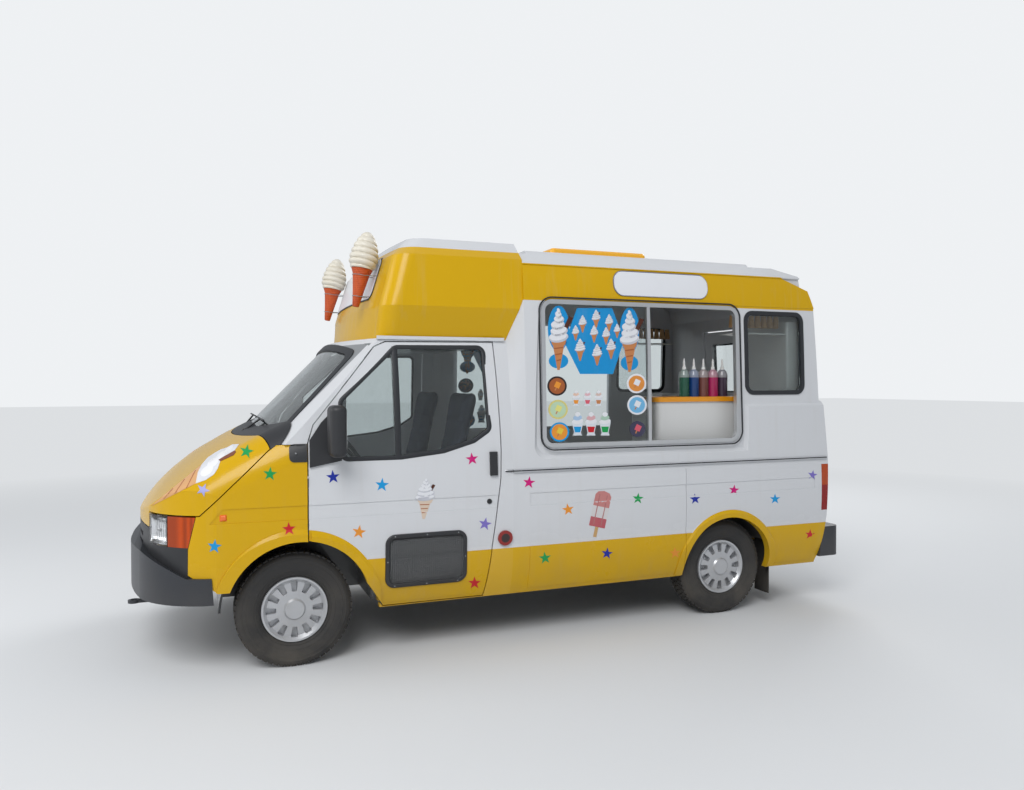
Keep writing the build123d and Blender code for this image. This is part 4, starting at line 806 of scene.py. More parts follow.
def draw_sundae(body, skin, x, y, high, fruit, far_side=False, layer=2):
    """Ice cream in a tall glass over coloured syrup."""
    glass_shape = [(-0.22, -0.05), (0.22, -0.05), (0.13, 0.36), (0.18, 0.46), (-0.18, 0.46), (-0.13, 0.36)]
    fill = [(-0.15, 0.12), (0.15, 0.12), (0.10, 0.34), (-0.10, 0.34)]
    stick(body, skin, placed(glass_shape, x, y, high), (0.62, 0.66, 0.70), layer, far_side)
    stick(body, skin, placed(fill, x, y, high), fruit, layer + 1, far_side)
    for order, (a, b, wide, tall) in enumerate(((0, -0.08, 0.44, 0.2), (0, -0.22, 0.34, 0.2),
                                                (0, -0.35, 0.2, 0.18))):
        tone = paper_white if order != 1 else tuple(0.5 * (p + f) for p, f in zip(paper_white, fruit))
        stick(body, skin, oval(x + a * high, y + b * high, wide * high, tall * high, -8), tone,
              layer + 2 + order, far_side)


def draw_round(body, skin, x, y, reach, ring, field, motif, far_side=False, layer=2):
    """A round sticker: ring, field and a plain sweet in its middle."""
    stick(body, skin, oval(x, y, 2 * reach, 2 * reach, 0, 28), ring, layer, far_side)
    stick(body, skin, oval(x, y, 1.62 * reach, 1.62 * reach, 0, 28), field, layer + 1, far_side)
    bar = [(-0.28, -0.42), (0.28, -0.42), (0.28, 0.18), (-0.28, 0.18)]
    handle = [(-0.06, 0.18), (0.06, 0.18), (0.06, 0.5), (-0.06, 0.5)]
    stick(body, skin, placed(handle, x, y, reach, 25), biscuit, layer + 2, far_side)
    stick(body, skin, placed(bar, x, y, reach, 25), motif, layer + 3, far_side)


def draw_lolly(body, skin, x, y, high, far_side=False, angle=12, layer=2):
    """A three-coloured lolly on its stick."""
    handle = [(-0.035, 0.26), (0.035, 0.26), (0.035, 0.5), (-0.035, 0.5)]
    stick(body, skin, placed(handle, x, y, high, angle), (0.52, 0.32, 0.14), layer, far_side)
    rows = ((-0.40, -0.16, (0.50, 0.20, 0.19)), (-0.16, 0.08, (0.60, 0.58, 0.58)),
            (0.08, 0.28, (0.45, 0.10, 0.12)))
    for low, high_part, tone in rows:
        block = [(-0.17, low), (0.17, low), (0.17, high_part), (-0.17, high_part)]
        stick(body, skin, placed(block, x, y, high, angle), tone, layer + 1, far_side)
    top = [(-0.17, -0.40), (-0.12, -0.47), (0.0, -0.50), (0.12, -0.47), (0.17, -0.40)]
    stick(body, skin, placed(top, x, y, high, angle), (0.50, 0.20, 0.19), layer + 1, far_side)
    for edge in (-0.09, 0.07):
        groove = [(edge, -0.42), (edge + 0.02, -0.42), (edge + 0.02, 0.24), (edge, 0.24)]
        stick(body, skin, placed(groove, x, y, high, angle), (0.40, 0.16, 0.16), layer + 2, far_side)


for far_side, door in ((False, "door_left"), (True, "door_right")):
    draw_cone(door, door, 425.0, 499.0, 40, far_side, 4, biscuit_tone=(0.62, 0.50, 0.40))
    draw_lolly("body", "body", 599.5, 514.0, 47, far_side)

# The bonnet's large cone lies along the panel
bonnet_wafer = [(151.5, 505.8), (201.9, 464.5), (195.8, 483.6)]
bonnet_cream = [(195.8, 483.6), (205.7, 480.1), (214.1, 474.4), (218.0, 468.3), (220.3, 461.4),
                (227.1, 456.1), (234.0, 451.5),
                (239.1, 444.3), (232.5, 444.6), (227.1, 447.7), (221.0, 449.5), (214.9, 453.0),
                (208.0, 457.6),
                (201.9, 464.5), (198.1, 472.1)]
bonnet_flake = [(218.7, 459.9), (235.1, 450.4), (235.9, 452.2), (233.6, 455.3), (220.3, 461.4)]
wafer_lines = [[(163.5, 499.0), (173.0, 488.2), (173.6, 488.6), (164.3, 499.0)],
               [(174.5, 493.6), (184.5, 479.0), (185.1, 479.4), (175.4, 493.4)],
               [(186.0, 488.4), (195.5, 470.0), (196.1, 470.4), (187.0, 488.2)]]
for far_side in (False, True):
    stick("bonnet", "bonnet", bonnet_wafer, (0.62, 0.34, 0.15), 1, far_side, 2.0)
    for strip in wafer_lines:
        stick("bonnet", "bonnet", strip, biscuit_dark, 2, far_side, 2.0)
    stick("bonnet", "bonnet", bonnet_cream, (0.66, 0.67, 0.70), 2, far_side, 2.0)
    for x, y, wide, tall in ((207, 471, 15, 8), (213, 463, 13, 7), (221, 455.5, 12, 5), (229, 449.5, 10, 4)):
        stick("bonnet", "bonnet", oval(x, y, wide, tall, -38), (0.78, 0.78, 0.80), 3, far_side, 2.0)
    stick("bonnet", "bonnet", bonnet_flake, (0.20, 0.07, 0.04), 4, far_side, 2.0)

# %% Menu on the fixed serving pane
board = [(577, 308), (612, 308), (624, 340), (613, 374), (580, 374), (564.5, 343)]
for far_side in (False, True):
    stick("body", "pane", board, menu_blue, 1, far_side)
    for x, y, high in ((582.5, 324, 17), (596, 319, 18), (609, 323, 17), (575.5, 333, 15), (617, 331, 14),
                       (594, 334, 17),
                       (606, 336, 17), (580, 350, 22), (611, 349, 20), (597, 355, 21)):
        draw_cone("body", "pane", x, y, high, far_side, 0, 3, flake=high > 17)
    for x, top, foot, wide in ((558.5, 307, 372, 20), (629.5, 309, 374, 18)):
        middle = (top + foot) / 2
        plaque = oval(x, foot - 11, wide * 0.98, 15)
        stick("body", "pane", oval(x, middle - 11, wide + 1.5, 46, 0, 24), menu_blue, 1, far_side)
        stick("body", "pane", plaque, menu_blue, 2, far_side)
        draw_cone("body", "pane", x, middle, foot - top - 4, far_side, 0, 3, slim=0.64)
    for x, y, ring, field, motif in ((557, 386, (0.03, 0.02, 0.02), (0.35, 0.10, 0.03), orange),
                                     (558, 409.5, (0.62, 0.55, 0.20), (0.45, 0.60, 0.42), (0.70, 0.66, 0.20)),
                                     (559.5, 432, sky_blue, orange, (0.70, 0.50, 0.05)),
                                     (636.5, 383.5, paper_white, (0.66, 0.25, 0.05), paper_white),
                                     (637, 405, paper_white, (0.16, 0.42, 0.66), paper_white),
                                     (637.5, 429, (0.20, 0.45, 0.68), (0.05, 0.05, 0.09), candy_pink)):
        draw_round("body", "pane", x, y, 9.8, ring, field, motif, far_side)
    for x, fruit in ((576, orange), (587.5, candy_pink), (598.5, biscuit)):
        draw_sundae("body", "pane", x, 398, 17, fruit, far_side)
    for x, fruit in ((577.5, sky_blue), (591, red), (605, green)):
        draw_sundae("body", "pane", x, 423.5, 26, fruit, far_side)

# %% Printed vinyl
printed, tree, shader = material("printed_vinyl", 0.42, 0.0, 0.0)
shader.inputs["Specular IOR Level"].default_value = 0.25
ink = tree.nodes.new("ShaderNodeAttribute")
ink.attribute_name = "ink"
faded = use(tree, grain, Colour=ink.outputs["Color"], Scale=90.0, Contrast=0.16)
feed(tree, use(tree, weather, Colour=faded["Colour"], Amount=0.15)["Colour"], shader.inputs["Base Color"])


def finished_piece(name, mesh, body, finish, smooth=None):
    """A mesh as an object that rides on a body and wears a finish."""
    piece = bpy.data.objects.new(name, mesh)
    scene.collection.objects.link(piece)
    if finish is not None:
        mesh.materials.clear()
        mesh.materials.append(finish)
    if smooth is not None:
        mesh.shade_smooth()
        mesh.set_sharp_from_angle(angle=math.radians(smooth))
    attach(piece, body)
    return piece


for body, (shapes, ink) in vinyl.items():
    mesh = bpy.data.meshes.new("stickers_" + body)
    shapes.to_mesh(mesh)
    shapes.free()
    finished_piece("stickers_" + body, mesh, body, printed)
    print("stickers on", body, len(mesh.polygons), "faces")

# %% [markdown]
# Several pieces follow the curve of the van's side: rubber channels round the cab's glass, the
# frame of the door's vent, the mesh in it. The side only bulges with height, so one column of
# rays, shot at the panel from outside, gives its depth at every height. Shapes are then drawn
# flat, as a maker would cut them, and pushed onto that curve.


# %% The curve of a side
def side_curve(node, along, low, high, steps=40):
    """The panel's distance from the middle at evenly spaced heights, measured by rays."""
    tree = surface(node)
    rows = []
    for step in range(steps + 1):
        height = low + (high - low) * step / steps
        place = tree.ray_cast(Vector((along, -2.0, height)), Vector((0, 1, 0)))[0]
        if place is not None:
            rows.append((height, -place.y))
    return rows


def depth_at(rows, height):
    """The distance from the middle at one height, between the measured rows."""
    if height <= rows[0][0]:
        return rows[0][1]
    for (low, first), (high, second) in zip(rows, rows[1:]):
        if height <= high:
            return first + (second - first) * (height - low) / (high - low)
    return rows[-1][1]


cab_window_curve = side_curve("door_left", front_axle_x + 0.572, 1.06, 1.80)
cab_panel_curve = side_curve("door_left", front_axle_x + 1.040, 0.36, 1.00)
print("cab side:", len(cab_window_curve), "and", len(cab_panel_curve), "heights measured")


def rounded(points, radius, steps=6):
    """An outline of (x, z) corners with each corner turned into an arc."""
    line = []
    count = len(points)
    for index in range(count):
        before, here, after = (Vector(points[(index + shift) % count]) for shift in (-1, 0, 1))
        to_before = (before - here).normalized()
        to_after = (after - here).normalized()
        angle = to_before.angle(to_after)
        reach = min(radius / math.tan(angle / 2), (before - here).length * 0.45, (after - here).length * 0.45)
        bend = reach * math.tan(angle / 2)
        middle = here + (to_before + to_after).normalized() * (bend / math.sin(angle / 2))
        start = here + to_before * reach - middle
        end = here + to_after * reach - middle
        for step in range(steps + 1):
            share = step / steps
            spoke = (start * (1 - share) + end * share).normalized() * bend
            line.append(middle + spoke)
    return line


def bead(name, outline, curve, section, side, body, finish, smooth=40):
    """A moulding that runs round an outline on the van's side.

    Its section is a list of (across, proud) points: across the run, and out from the panel."""
    shapes = bmesh.new()
    count = len(outline)
    rings = []
    for index in range(count):
        here = outline[index]
        run = (outline[(index + 1) % count] - outline[index - 1]).normalized()
        outwards = Vector((run.y, -run.x))
        ring = []
        for offset, proud in section:
            point = here + outwards * offset
            depth = depth_at(curve, point.y) + proud
            ring.append(shapes.verts.new((point.x, side * depth, point.y)))
        rings.append(ring)
    corners = len(section)
    for index in range(count):
        first, second = rings[index], rings[(index + 1) % count]
        for corner in range(corners):
            other = (corner + 1) % corners
            shapes.faces.new([first[corner], first[other], second[other], second[corner]])
    bmesh.ops.recalc_face_normals(shapes, faces=shapes.faces[:])
    mesh = bpy.data.meshes.new(name)
    shapes.to_mesh(mesh)
    shapes.free()
    return finished_piece(name, mesh, body, finish, smooth)


# %% Rubber round the cab's glass
glass_outline = [(0.250, 1.146), (0.588, 1.146), (0.840, 1.173), (1.027, 1.227), (1.128, 1.292),
                 (1.116, 1.784),
                 (0.574, 1.778), (0.250, 1.470)]
cab_glass_line = rounded([(front_axle_x + x, z) for x, z in glass_outline], 0.040)
channel = [(-0.012, -0.020), (-0.012, 0.001), (-0.007, 0.004), (0.007, 0.004), (0.013, 0.001),
           (0.013, -0.004),
           (0.000, -0.006), (0.000, -0.020)]
divider_x = (front_axle_x + 0.5555, front_axle_x + 0.5885)
for side, body in ((-1, "door_left"), (1, "door_right")):
    bead("window_channel_" + body, cab_glass_line, cab_window_curve, channel, side, body, seal_rubber)
    bar = bmesh.new()
    rows = []
    for step in range(31):
        height = 1.140 + (1.782 - 1.140) * step / 30
        depth = depth_at(cab_window_curve, height)
        row = [(divider_x[0], depth - 0.012), (divider_x[0], depth + 0.002),
               (divider_x[0] + 0.006, depth + 0.004),
               (divider_x[1] - 0.006, depth + 0.004), (divider_x[1], depth + 0.002),
               (divider_x[1], depth - 0.012)]
        rows.append([bar.verts.new((x, side * y, height)) for x, y in row])
    for low, high in zip(rows, rows[1:]):
        for corner in range(6):
            other = (corner + 1) % 6
            bar.faces.new([low[corner], low[other], high[other], high[corner]])
    bar.faces.new(rows[0])
    bar.faces.new(rows[-1])
    bmesh.ops.recalc_face_normals(bar, faces=bar.faces[:])
    mesh = bpy.data.meshes.new("window_divider_" + body)
    bar.to_mesh(mesh)
    bar.free()
    finished_piece("window_divider_" + body, mesh, body, seal_rubber, 40)

# %% [markdown]
# What repeats is grown by a geometry tree: the diamonds of the expanded mesh, the heads of screws
# and rivets, the blocks of a tyre's tread, the stacked cone sleeves on the shelf. A tree is built
# once with named inputs for its sizes. This helper runs a tree on a throwaway object and keeps
# the result as a plain mesh, because the finished part carries no live modifiers.


# %% Growing repeated pieces
def geometry_tree(name, inputs):
    """A geometry tree with named inputs, and one geometry in and out."""
    tree = bpy.data.node_groups.new(name, "GeometryNodeTree")
    tree.interface.new_socket("Geometry", in_out="INPUT", socket_type="NodeSocketGeometry")
    for label, kind, value in inputs:
        socket = tree.interface.new_socket(label, in_out="INPUT", socket_type=kind)
        if value is not None:
            socket.default_value = value
    tree.interface.new_socket("Finish", in_out="INPUT", socket_type="NodeSocketMaterial")
    tree.interface.new_socket("Geometry", in_out="OUTPUT", socket_type="NodeSocketGeometry")
    return tree, tree.nodes.new("NodeGroupInput").outputs


def step_of(tree, kind, links=None, **settings):
    """Add one node: link or set its inputs by name, and set its own options."""
    node = tree.nodes.new(kind)
    for label, value in settings.items():
        setattr(node, label, value)
    for label, value in (links or {}).items():
        feed(tree, value, node.inputs[label])
    return node


def finish_tree(tree, given, geometry):
    """Every tree ends the same way: real geometry, in its material."""
    real = step_of(tree, "GeometryNodeRealizeInstances", {"Geometry": geometry})
    dressed = step_of(tree, "GeometryNodeSetMaterial", {"Geometry": real.outputs[0],
                                                        "Material": given["Finish"]})
    end = tree.nodes.new("NodeGroupOutput")
    tree.links.new(dressed.outputs[0], end.inputs["Geometry"])


def grow(tree, seed_mesh, **values):
    """Run a tree on a mesh and keep the result as a plain mesh."""
    holder = bpy.data.objects.new(seed_mesh.name, seed_mesh)
    scene.collection.objects.link(holder)
    modifier = holder.modifiers.new("grow", "NODES")
    modifier.node_group = tree
    for item in tree.interface.items_tree:
        if item.item_type == "SOCKET" and item.in_out == "INPUT" and item.name.replace(" ", "_") in values:
            modifier[item.identifier] = values[item.name.replace(" ", "_")]
    graph = bpy.context.evaluated_depsgraph_get()
    grown = bpy.data.meshes.new_from_object(holder.evaluated_get(graph))
    bpy.data.objects.remove(holder)
    return grown


# %% Expanded mesh in the door's vent
mesh_tree, given = geometry_tree("expanded_mesh", [
    ("Wide", NUMBER, 0.0125), ("High", NUMBER, 0.0068), ("Strand", NUMBER, 0.0007)])
half_high = calc(mesh_tree, "MULTIPLY", given["High"], 0.5)
diamond = step_of(mesh_tree, "GeometryNodeCurvePrimitiveQuadrilateral", mode="KITE", links={
    "Width": given["Wide"], "Bottom Height": half_high, "Top Height": half_high})
wire = step_of(mesh_tree, "GeometryNodeCurvePrimitiveCircle", {"Resolution": 3, "Radius": given["Strand"]})
strand = step_of(mesh_tree, "GeometryNodeCurveToMesh", {
    "Curve": diamond.outputs[0], "Profile Curve": wire.outputs[0]})
laid = step_of(mesh_tree, "GeometryNodeInstanceOnPoints", {
    "Points": given["Geometry"], "Instance": strand.outputs[0], "Rotation": (math.pi / 2, 0, 0)})
finish_tree(mesh_tree, given, laid.outputs[0])

vent_box = (front_axle_x + 0.492, front_axle_x + 0.977, 0.400, 0.709)
mesh_wide = 0.0125
mesh_high = 0.0068
seeds = bmesh.new()
columns = int((vent_box[1] - vent_box[0] - 0.046) / mesh_wide)
rows = int((vent_box[3] - vent_box[2] - 0.046) / mesh_high)
for column in range(columns + 1):
    for row in range(rows + 1):
        x = (vent_box[0] + vent_box[1]) / 2 + (column - columns / 2) * mesh_wide
        z = (vent_box[2] + vent_box[3]) / 2 + (row - rows / 2) * mesh_high
        past_x = max(0.0, abs(x - (vent_box[0] + vent_box[1]) / 2) - 0.178)
        past_z = max(0.0, abs(z - (vent_box[2] + vent_box[3]) / 2) - 0.090)
        if math.hypot(past_x, past_z) < 0.047:
            seeds.verts.new((x, 0, z))
seed_mesh = bpy.data.meshes.new("vent_mesh")
seeds.to_mesh(seed_mesh)
seeds.free()
galvanised = grained("galvanised", (0.30, 0.31, 0.32), 0.42, 0.7, 300, 0.3, 0.2, 0.35)
grown = grow(mesh_tree, seed_mesh, Finish=galvanised)
for vertex in grown.vertices:
    vertex.co.y = vertex.co.y - depth_at(cab_panel_curve, vertex.co.z) + 0.0025
finished_piece("vent_mesh", grown, "door_left", None, 30)
print("vent mesh:", len(grown.polygons), "faces")

# %% The vent's frame, screws, and a near-black sheet behind the mesh as painted shade
corners = [(vent_box[0], vent_box[2]), (vent_box[1], vent_box[2]), (vent_box[1], vent_box[3]),
           (vent_box[0], vent_box[3])]
inset = 0.012
vent_line = rounded([(x + (inset if x == vent_box[0] else -inset),
                      z + (inset if z == vent_box[2] else -inset))
                     for x, z in corners], 0.045, 10)
rim = [(-0.012, -0.0015), (-0.012, 0.0065), (-0.0085, 0.0095), (0.0070, 0.0095), (0.0115, 0.0065),
       (0.0120, -0.0015)]
vent_frame = bead("vent_frame", vent_line, cab_panel_curve, rim, -1, "door_left", black_plastic, 30)
# Behind the mesh a near-black sheet stands in for the shade inside the vent: painted shade.
back = bmesh.new()
for depth in (0.006, 0.0085):
    ring = [back.verts.new((point.x, -(depth_at(cab_panel_curve, point.y) - depth),
                            point.y)) for point in vent_line]
    back.faces.new(ring)
loops = [list(face.verts) for face in back.faces]
for index in range(len(vent_line)):
    other = (index + 1) % len(vent_line)
    back.faces.new([loops[0][index], loops[0][other], loops[1][other], loops[1][index]])
bmesh.ops.triangulate(back, faces=[face for face in back.faces if len(face.verts) > 4])
bmesh.ops.recalc_face_normals(back, faces=back.faces[:])
mesh = bpy.data.meshes.new("vent_back")
back.to_mesh(mesh)
back.free()
dark_felt = grained("dark_felt", (0.012, 0.012, 0.013), 0.95, 0, 400, 0.4, 0.3, 0.1)
finished_piece("vent_back", mesh, "door_left", dark_felt)
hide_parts("door_vent")

# %% Domed screw heads, and the vent's screws
fastener_tree, given = geometry_tree("fastener_heads", [("Radius", NUMBER, 0.004), ("Dome", NUMBER, 0.0018)])
head = step_of(fastener_tree, "GeometryNodeMeshUVSphere", {"Segments": 12, "Rings": 8, "Radius": 1.0})
across_head = fastener_tree.nodes.new("ShaderNodeCombineXYZ")
feed(fastener_tree, given["Radius"], across_head.inputs["X"])
feed(fastener_tree, given["Dome"], across_head.inputs["Y"])
feed(fastener_tree, given["Radius"], across_head.inputs["Z"])
domes = step_of(fastener_tree, "GeometryNodeInstanceOnPoints", {
    "Points": given["Geometry"], "Instance": head.outputs[0], "Scale": across_head.outputs[0]})
finish_tree(fastener_tree, given, domes.outputs[0])


def fasteners(name, points, body, finish, radius=0.004, dome=0.0018):
    """Domed heads at points on the van's sides."""
    seed_mesh = bpy.data.meshes.new(name)
    seed_mesh.from_pydata(points, [], [])
    grown = grow(fastener_tree, seed_mesh, Finish=finish, Radius=radius, Dome=dome)
    return finished_piece(name, grown, body, None, 50)


vent_screws = []
for x in (vent_box[0] + 0.055, (vent_box[0] + vent_box[1]) / 2, vent_box[1] - 0.055):
    for z in (vent_box[2] + inset, vent_box[3] - inset):
        vent_screws.append((x, -depth_at(cab_panel_curve, z) - 0.0093, z))
for x in (vent_box[0] + inset, vent_box[1] - inset):
    z = (vent_box[2] + vent_box[3]) / 2
    vent_screws.append((x, -depth_at(cab_panel_curve, z) - 0.0093, z))
fasteners("vent_screws", vent_screws, "door_left", galvanised, 0.0042, 0.0016)
print("vent screws:", len(vent_screws))

# %% [markdown]
# A tyre is a turned shape with blocks set round it. The carcass is turned from a line that bulges
# at the sidewall and carries thin raised rings, as moulds leave them. Five rows of blocks are
# instanced on circles, each row stepped round by part of a block, so the grooves don't line up.

# %% Tyres
tread_radius = 0.3105
tread_tree, given = geometry_tree("tread_blocks", [
    ("Blocks", "NodeSocketInt", 60), ("Radius", NUMBER, 0.3128), ("Long", NUMBER, 0.0255),
    ("Wide", NUMBER, 0.0232),
    ("Deep", NUMBER, 0.0094)])
block_size = tread_tree.nodes.new("ShaderNodeCombineXYZ")
feed(tread_tree, given["Deep"], block_size.inputs["X"])
feed(tread_tree, given["Long"], block_size.inputs["Y"])
feed(tread_tree, given["Wide"], block_size.inputs["Z"])
block = step_of(tread_tree, "GeometryNodeMeshCube", {"Size": block_size.outputs[0]})
circle = step_of(tread_tree, "GeometryNodeMeshCircle", {"Vertices": given["Blocks"],
                                                        "Radius": given["Radius"]})
outwards = step_of(tread_tree, "FunctionNodeAlignRotationToVector", axis="X", links={
    "Vector": tread_tree.nodes.new("GeometryNodeInputPosition").outputs[0]})
ring = step_of(tread_tree, "GeometryNodeInstanceOnPoints", {
    "Points": circle.outputs[0], "Instance": block.outputs[0], "Rotation": outwards.outputs[0]})
tread = tread_tree.nodes.new("GeometryNodeJoinGeometry")
for row, phase in enumerate((0.0, 0.045, 0.0225, 0.068, 0.09)):
    shifted = step_of(tread_tree, "GeometryNodeTransform", {
        "Geometry": ring.outputs[0], "Translation": (0, 0, (row - 2) * 0.0275), "Rotation": (0, 0, phase)})
    tread_tree.links.new(shifted.outputs[0], tread.inputs[0])
upright = step_of(tread_tree, "GeometryNodeInstanceOnPoints", {
    "Points": given["Geometry"], "Instance": tread.outputs[0], "Rotation": (math.pi / 2, 0, 0)})
finish_tree(tread_tree, given, upright.outputs[0])

side_line = [(0.1806, 0.0660), (0.1815, 0.0700), (0.1880, 0.0760), (0.1940, 0.0800), (0.1950, 0.0822),
             (0.1985, 0.0826),
             (0.1996, 0.0808), (0.2060, 0.0838), (0.2180, 0.0872), (0.2190, 0.0884), (0.2215, 0.0886),
             (0.2225, 0.0878),
             (0.2400, 0.0905), (0.2580, 0.0911), (0.2590, 0.0919), (0.2610, 0.0919), (0.2620, 0.0910),
             (0.2780, 0.0902),
             (0.2790, 0.0912), (0.2830, 0.0908), (0.2840, 0.0890), (0.2930, 0.0850), (0.3010, 0.0780),
             (0.3070, 0.0710),
             (tread_radius, 0.0660)]


def turned_piece(name, line, centre, body, finish, segments=96, smooth=30):
    """A closed line of (radius, y) turned round a wheel's axle."""
    shapes = bmesh.new()
    rings = []
    for step in range(segments):
        angle = 2 * math.pi * step / segments
        rings.append([shapes.verts.new((centre[0] + radius * math.cos(angle), centre[1] + y,
                                        centre[2] + radius * math.sin(angle))) for radius, y in line])
    for index in range(segments):
        first, second = rings[index], rings[(index + 1) % segments]
        for corner in range(len(line)):
            other = (corner + 1) % len(line)
            shapes.faces.new([first[corner], first[other], second[other], second[corner]])
    bmesh.ops.recalc_face_normals(shapes, faces=shapes.faces[:])
    mesh = bpy.data.meshes.new(name)
    shapes.to_mesh(mesh)
    shapes.free()
    return finished_piece(name, mesh, body, finish, smooth)


tyre_line = side_line + [(radius, -y) for radius, y in reversed(side_line)]
for end, x in (("front", front_axle_x), ("rear", rear_axle_x)):
    for side, place in (("left", -0.795), ("right", 0.795)):
        body = f"wheel_{end}_{side}"
        centre = (x, place, 0.318)
        carcass = turned_piece(f"carcass_{end}_{side}", tyre_line, centre, body, tyre_rubber)
        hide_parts(f"tyre_{end}_{side}")
        seed_mesh = bpy.data.meshes.new(f"tread_{end}_{side}")
        seed_mesh.from_pydata([centre], [], [])
        blocks = grow(tread_tree, seed_mesh, Finish=tyre_rubber)
        finished_piece(f"tread_{end}_{side}", blocks, body, None)
print("tyres dressed, tread faces each:", len(blocks.polygons))

# %% [markdown]
# Lamps look real when something lies behind the lens. Rays find the front face of each headlamp,
# and a fluted silver bowl is hung behind it with a bulb in front. The same way of looking for a
# surface by rays seats the lock, the side lamps and the plates.


# %% Headlamp bowls and bulbs
chrome = grained("reflector_silver", (0.80, 0.81, 0.82), 0.12, 1.0, 60, 0.08, 0.05, 0.0)
lamp_tree = surface("headlamps")


def sheet(name, grid, thick, body, finish, smooth=40):
    """A closed sheet through a grid of points, thickened along a vector."""
    shapes = bmesh.new()
    layers = []
    for shift in (Vector((0, 0, 0)), Vector(thick)):
        layers.append([[shapes.verts.new(Vector(point) + shift) for point in row] for row in grid])
    last = len(grid[0]) - 1
    for top, bottom in zip(range(len(grid) - 1), range(1, len(grid))):
        for left in range(last):
            for layer in layers:
                shapes.faces.new([layer[top][left], layer[top][left + 1], layer[bottom][left + 1],
                                  layer[bottom][left]])
    edge = [(0, i) for i in range(last)] + [(j, last) for j in range(len(grid) - 1)]
    edge += [(len(grid) - 1, i) for i in range(last, 0, -1)] + [(j, 0) for j in range(len(grid) - 1, 0, -1)]
    for first, second in zip(edge, edge[1:] + edge[:1]):
        near = [layer[first[0]][first[1]] for layer in layers]
        far = [layer[second[0]][second[1]] for layer in layers]
        shapes.faces.new([near[0], far[0], far[1], near[1]])
    bmesh.ops.recalc_face_normals(shapes, faces=shapes.faces[:])
    mesh = bpy.data.meshes.new(name)
    shapes.to_mesh(mesh)
    shapes.free()
    return finished_piece(name, mesh, body, finish, smooth)


lamp_low, lamp_high, lamp_inner, lamp_outer = 0.708, 0.852, 0.628, 0.778
for side, hand in ((-1, "left"), (1, "right")):
    grid = []
    for row in range(15):
        height = lamp_low + (lamp_high - lamp_low) * row / 14
        line = []
        for column in range(41):
            share = column / 40
            over = side * (lamp_inner + (lamp_outer - lamp_inner) * share)
            face = lamp_tree.ray_cast(Vector((-3, over, height)), Vector((1, 0, 0)))[0]
            round_off = max(0.0, 1 - (2 * share - 1) ** 4) * max(0.0, 1 - (2 * row / 14 - 1) ** 4)
            depth = 0.006 + 0.034 * math.sqrt(round_off) + 0.0012 * math.sin(column * math.pi / 2)
            line.append((face.x + depth, over, height))
        grid.append(line)
    sheet("headlamp_bowl_" + hand, grid, (0.0015, 0, 0), "body", chrome, 60)
    middle = Vector(grid[7][20])
    bulb_line = [(0.0005, -0.030), (0.0045, -0.028), (0.0065, -0.022), (0.0065, -0.010), (0.0100, -0.009),
                 (0.0100, -0.003),
                 (0.0005, -0.003)]
    shapes = bmesh.new()
    turned = [[shapes.verts.new(middle + Vector((y, radius * math.cos(step * math.pi / 8),
                                                 radius * math.sin(step * math.pi / 8))))
               for radius, y in bulb_line] for step in range(16)]
    for index in range(16):
        first, second = turned[index], turned[(index + 1) % 16]
        for corner in range(len(bulb_line) - 1):
            shapes.faces.new([first[corner], first[corner + 1], second[corner + 1], second[corner]])
    shapes.faces.new([ring[0] for ring in turned])
    shapes.faces.new([ring[-1] for ring in turned])
    bmesh.ops.recalc_face_normals(shapes, faces=shapes.faces[:])
    mesh = bpy.data.meshes.new("headlamp_bulb_" + hand)
    shapes.to_mesh(mesh)
    shapes.free()
    finished_piece("headlamp_bulb_" + hand, mesh, "body", chrome, 40)

# %% Side lamps, locks, mirror glass and the rear plate
side_amber = grained("side_amber", (0.80, 0.15, 0.012), 0.18, 0, 150, 0.15, 0.1, 0.1, 0.5)
mirror_silver = grained("mirror_silver", (0.86, 0.87, 0.88), 0.03, 1.0, 30, 0.03, 0.0, 0.0)
plate_yellow = grained("plate_yellow", (0.78, 0.56, 0.02), 0.35, 0, 200, 0.05, 0.05, 0.3)


def pillow(name, rows, columns, point, proud, body, finish, edge=6):
    """A raised patch over a surface: flat in its middle and rounded down to its edge.

    point(u, v) gives a place on the surface and the way out of it, for u and v from 0 to 1."""
    shapes = bmesh.new()
    outer = []
    inner = []
    for row in range(rows + 1):
        u = row / rows
        line_out, line_in = [], []
        for column in range(columns + 1):
            v = column / columns
            rim = min(u, 1 - u) * rows, min(v, 1 - v) * columns
            rise = 1 - max(0.0, 1 - rim[0] / edge) ** 2 - max(0.0, 1 - rim[1] / edge) ** 2
            place, out = point(u, v)
            line_out.append(shapes.verts.new(place + out * proud * max(0.12, rise)))
            line_in.append(shapes.verts.new(place - out * 0.001))
        outer.append(line_out)
        inner.append(line_in)
    for layer in (outer, inner):
        for row in range(rows):
            for column in range(columns):
                shapes.faces.new([layer[row][column], layer[row][column + 1], layer[row + 1][column + 1],
                                  layer[row + 1][column]])
    border = [(0, i) for i in range(columns)] + [(j, columns) for j in range(rows)]
    border += [(rows, i) for i in range(columns, 0, -1)] + [(j, 0) for j in range(rows, 0, -1)]
    for (r0, c0), (r1, c1) in zip(border, border[1:] + border[:1]):
        shapes.faces.new([outer[r0][c0], outer[r1][c1], inner[r1][c1], inner[r0][c0]])
    bmesh.ops.recalc_face_normals(shapes, faces=shapes.faces[:])
    mesh = bpy.data.meshes.new(name)
    shapes.to_mesh(mesh)
    shapes.free()
    return finished_piece(name, mesh, body, finish, 50)


def on_side(tree, side, x0, x1, z0, z1):
    """Places on a side panel between two lengths and two heights."""
    def point(u, v):
        start = Vector((x0 + (x1 - x0) * u, side * 2.0, z0 + (z1 - z0) * v))
        place = tree.ray_cast(start, Vector((0, -side, 0)))[0]
        return place, Vector((0, side, 0))
    return point


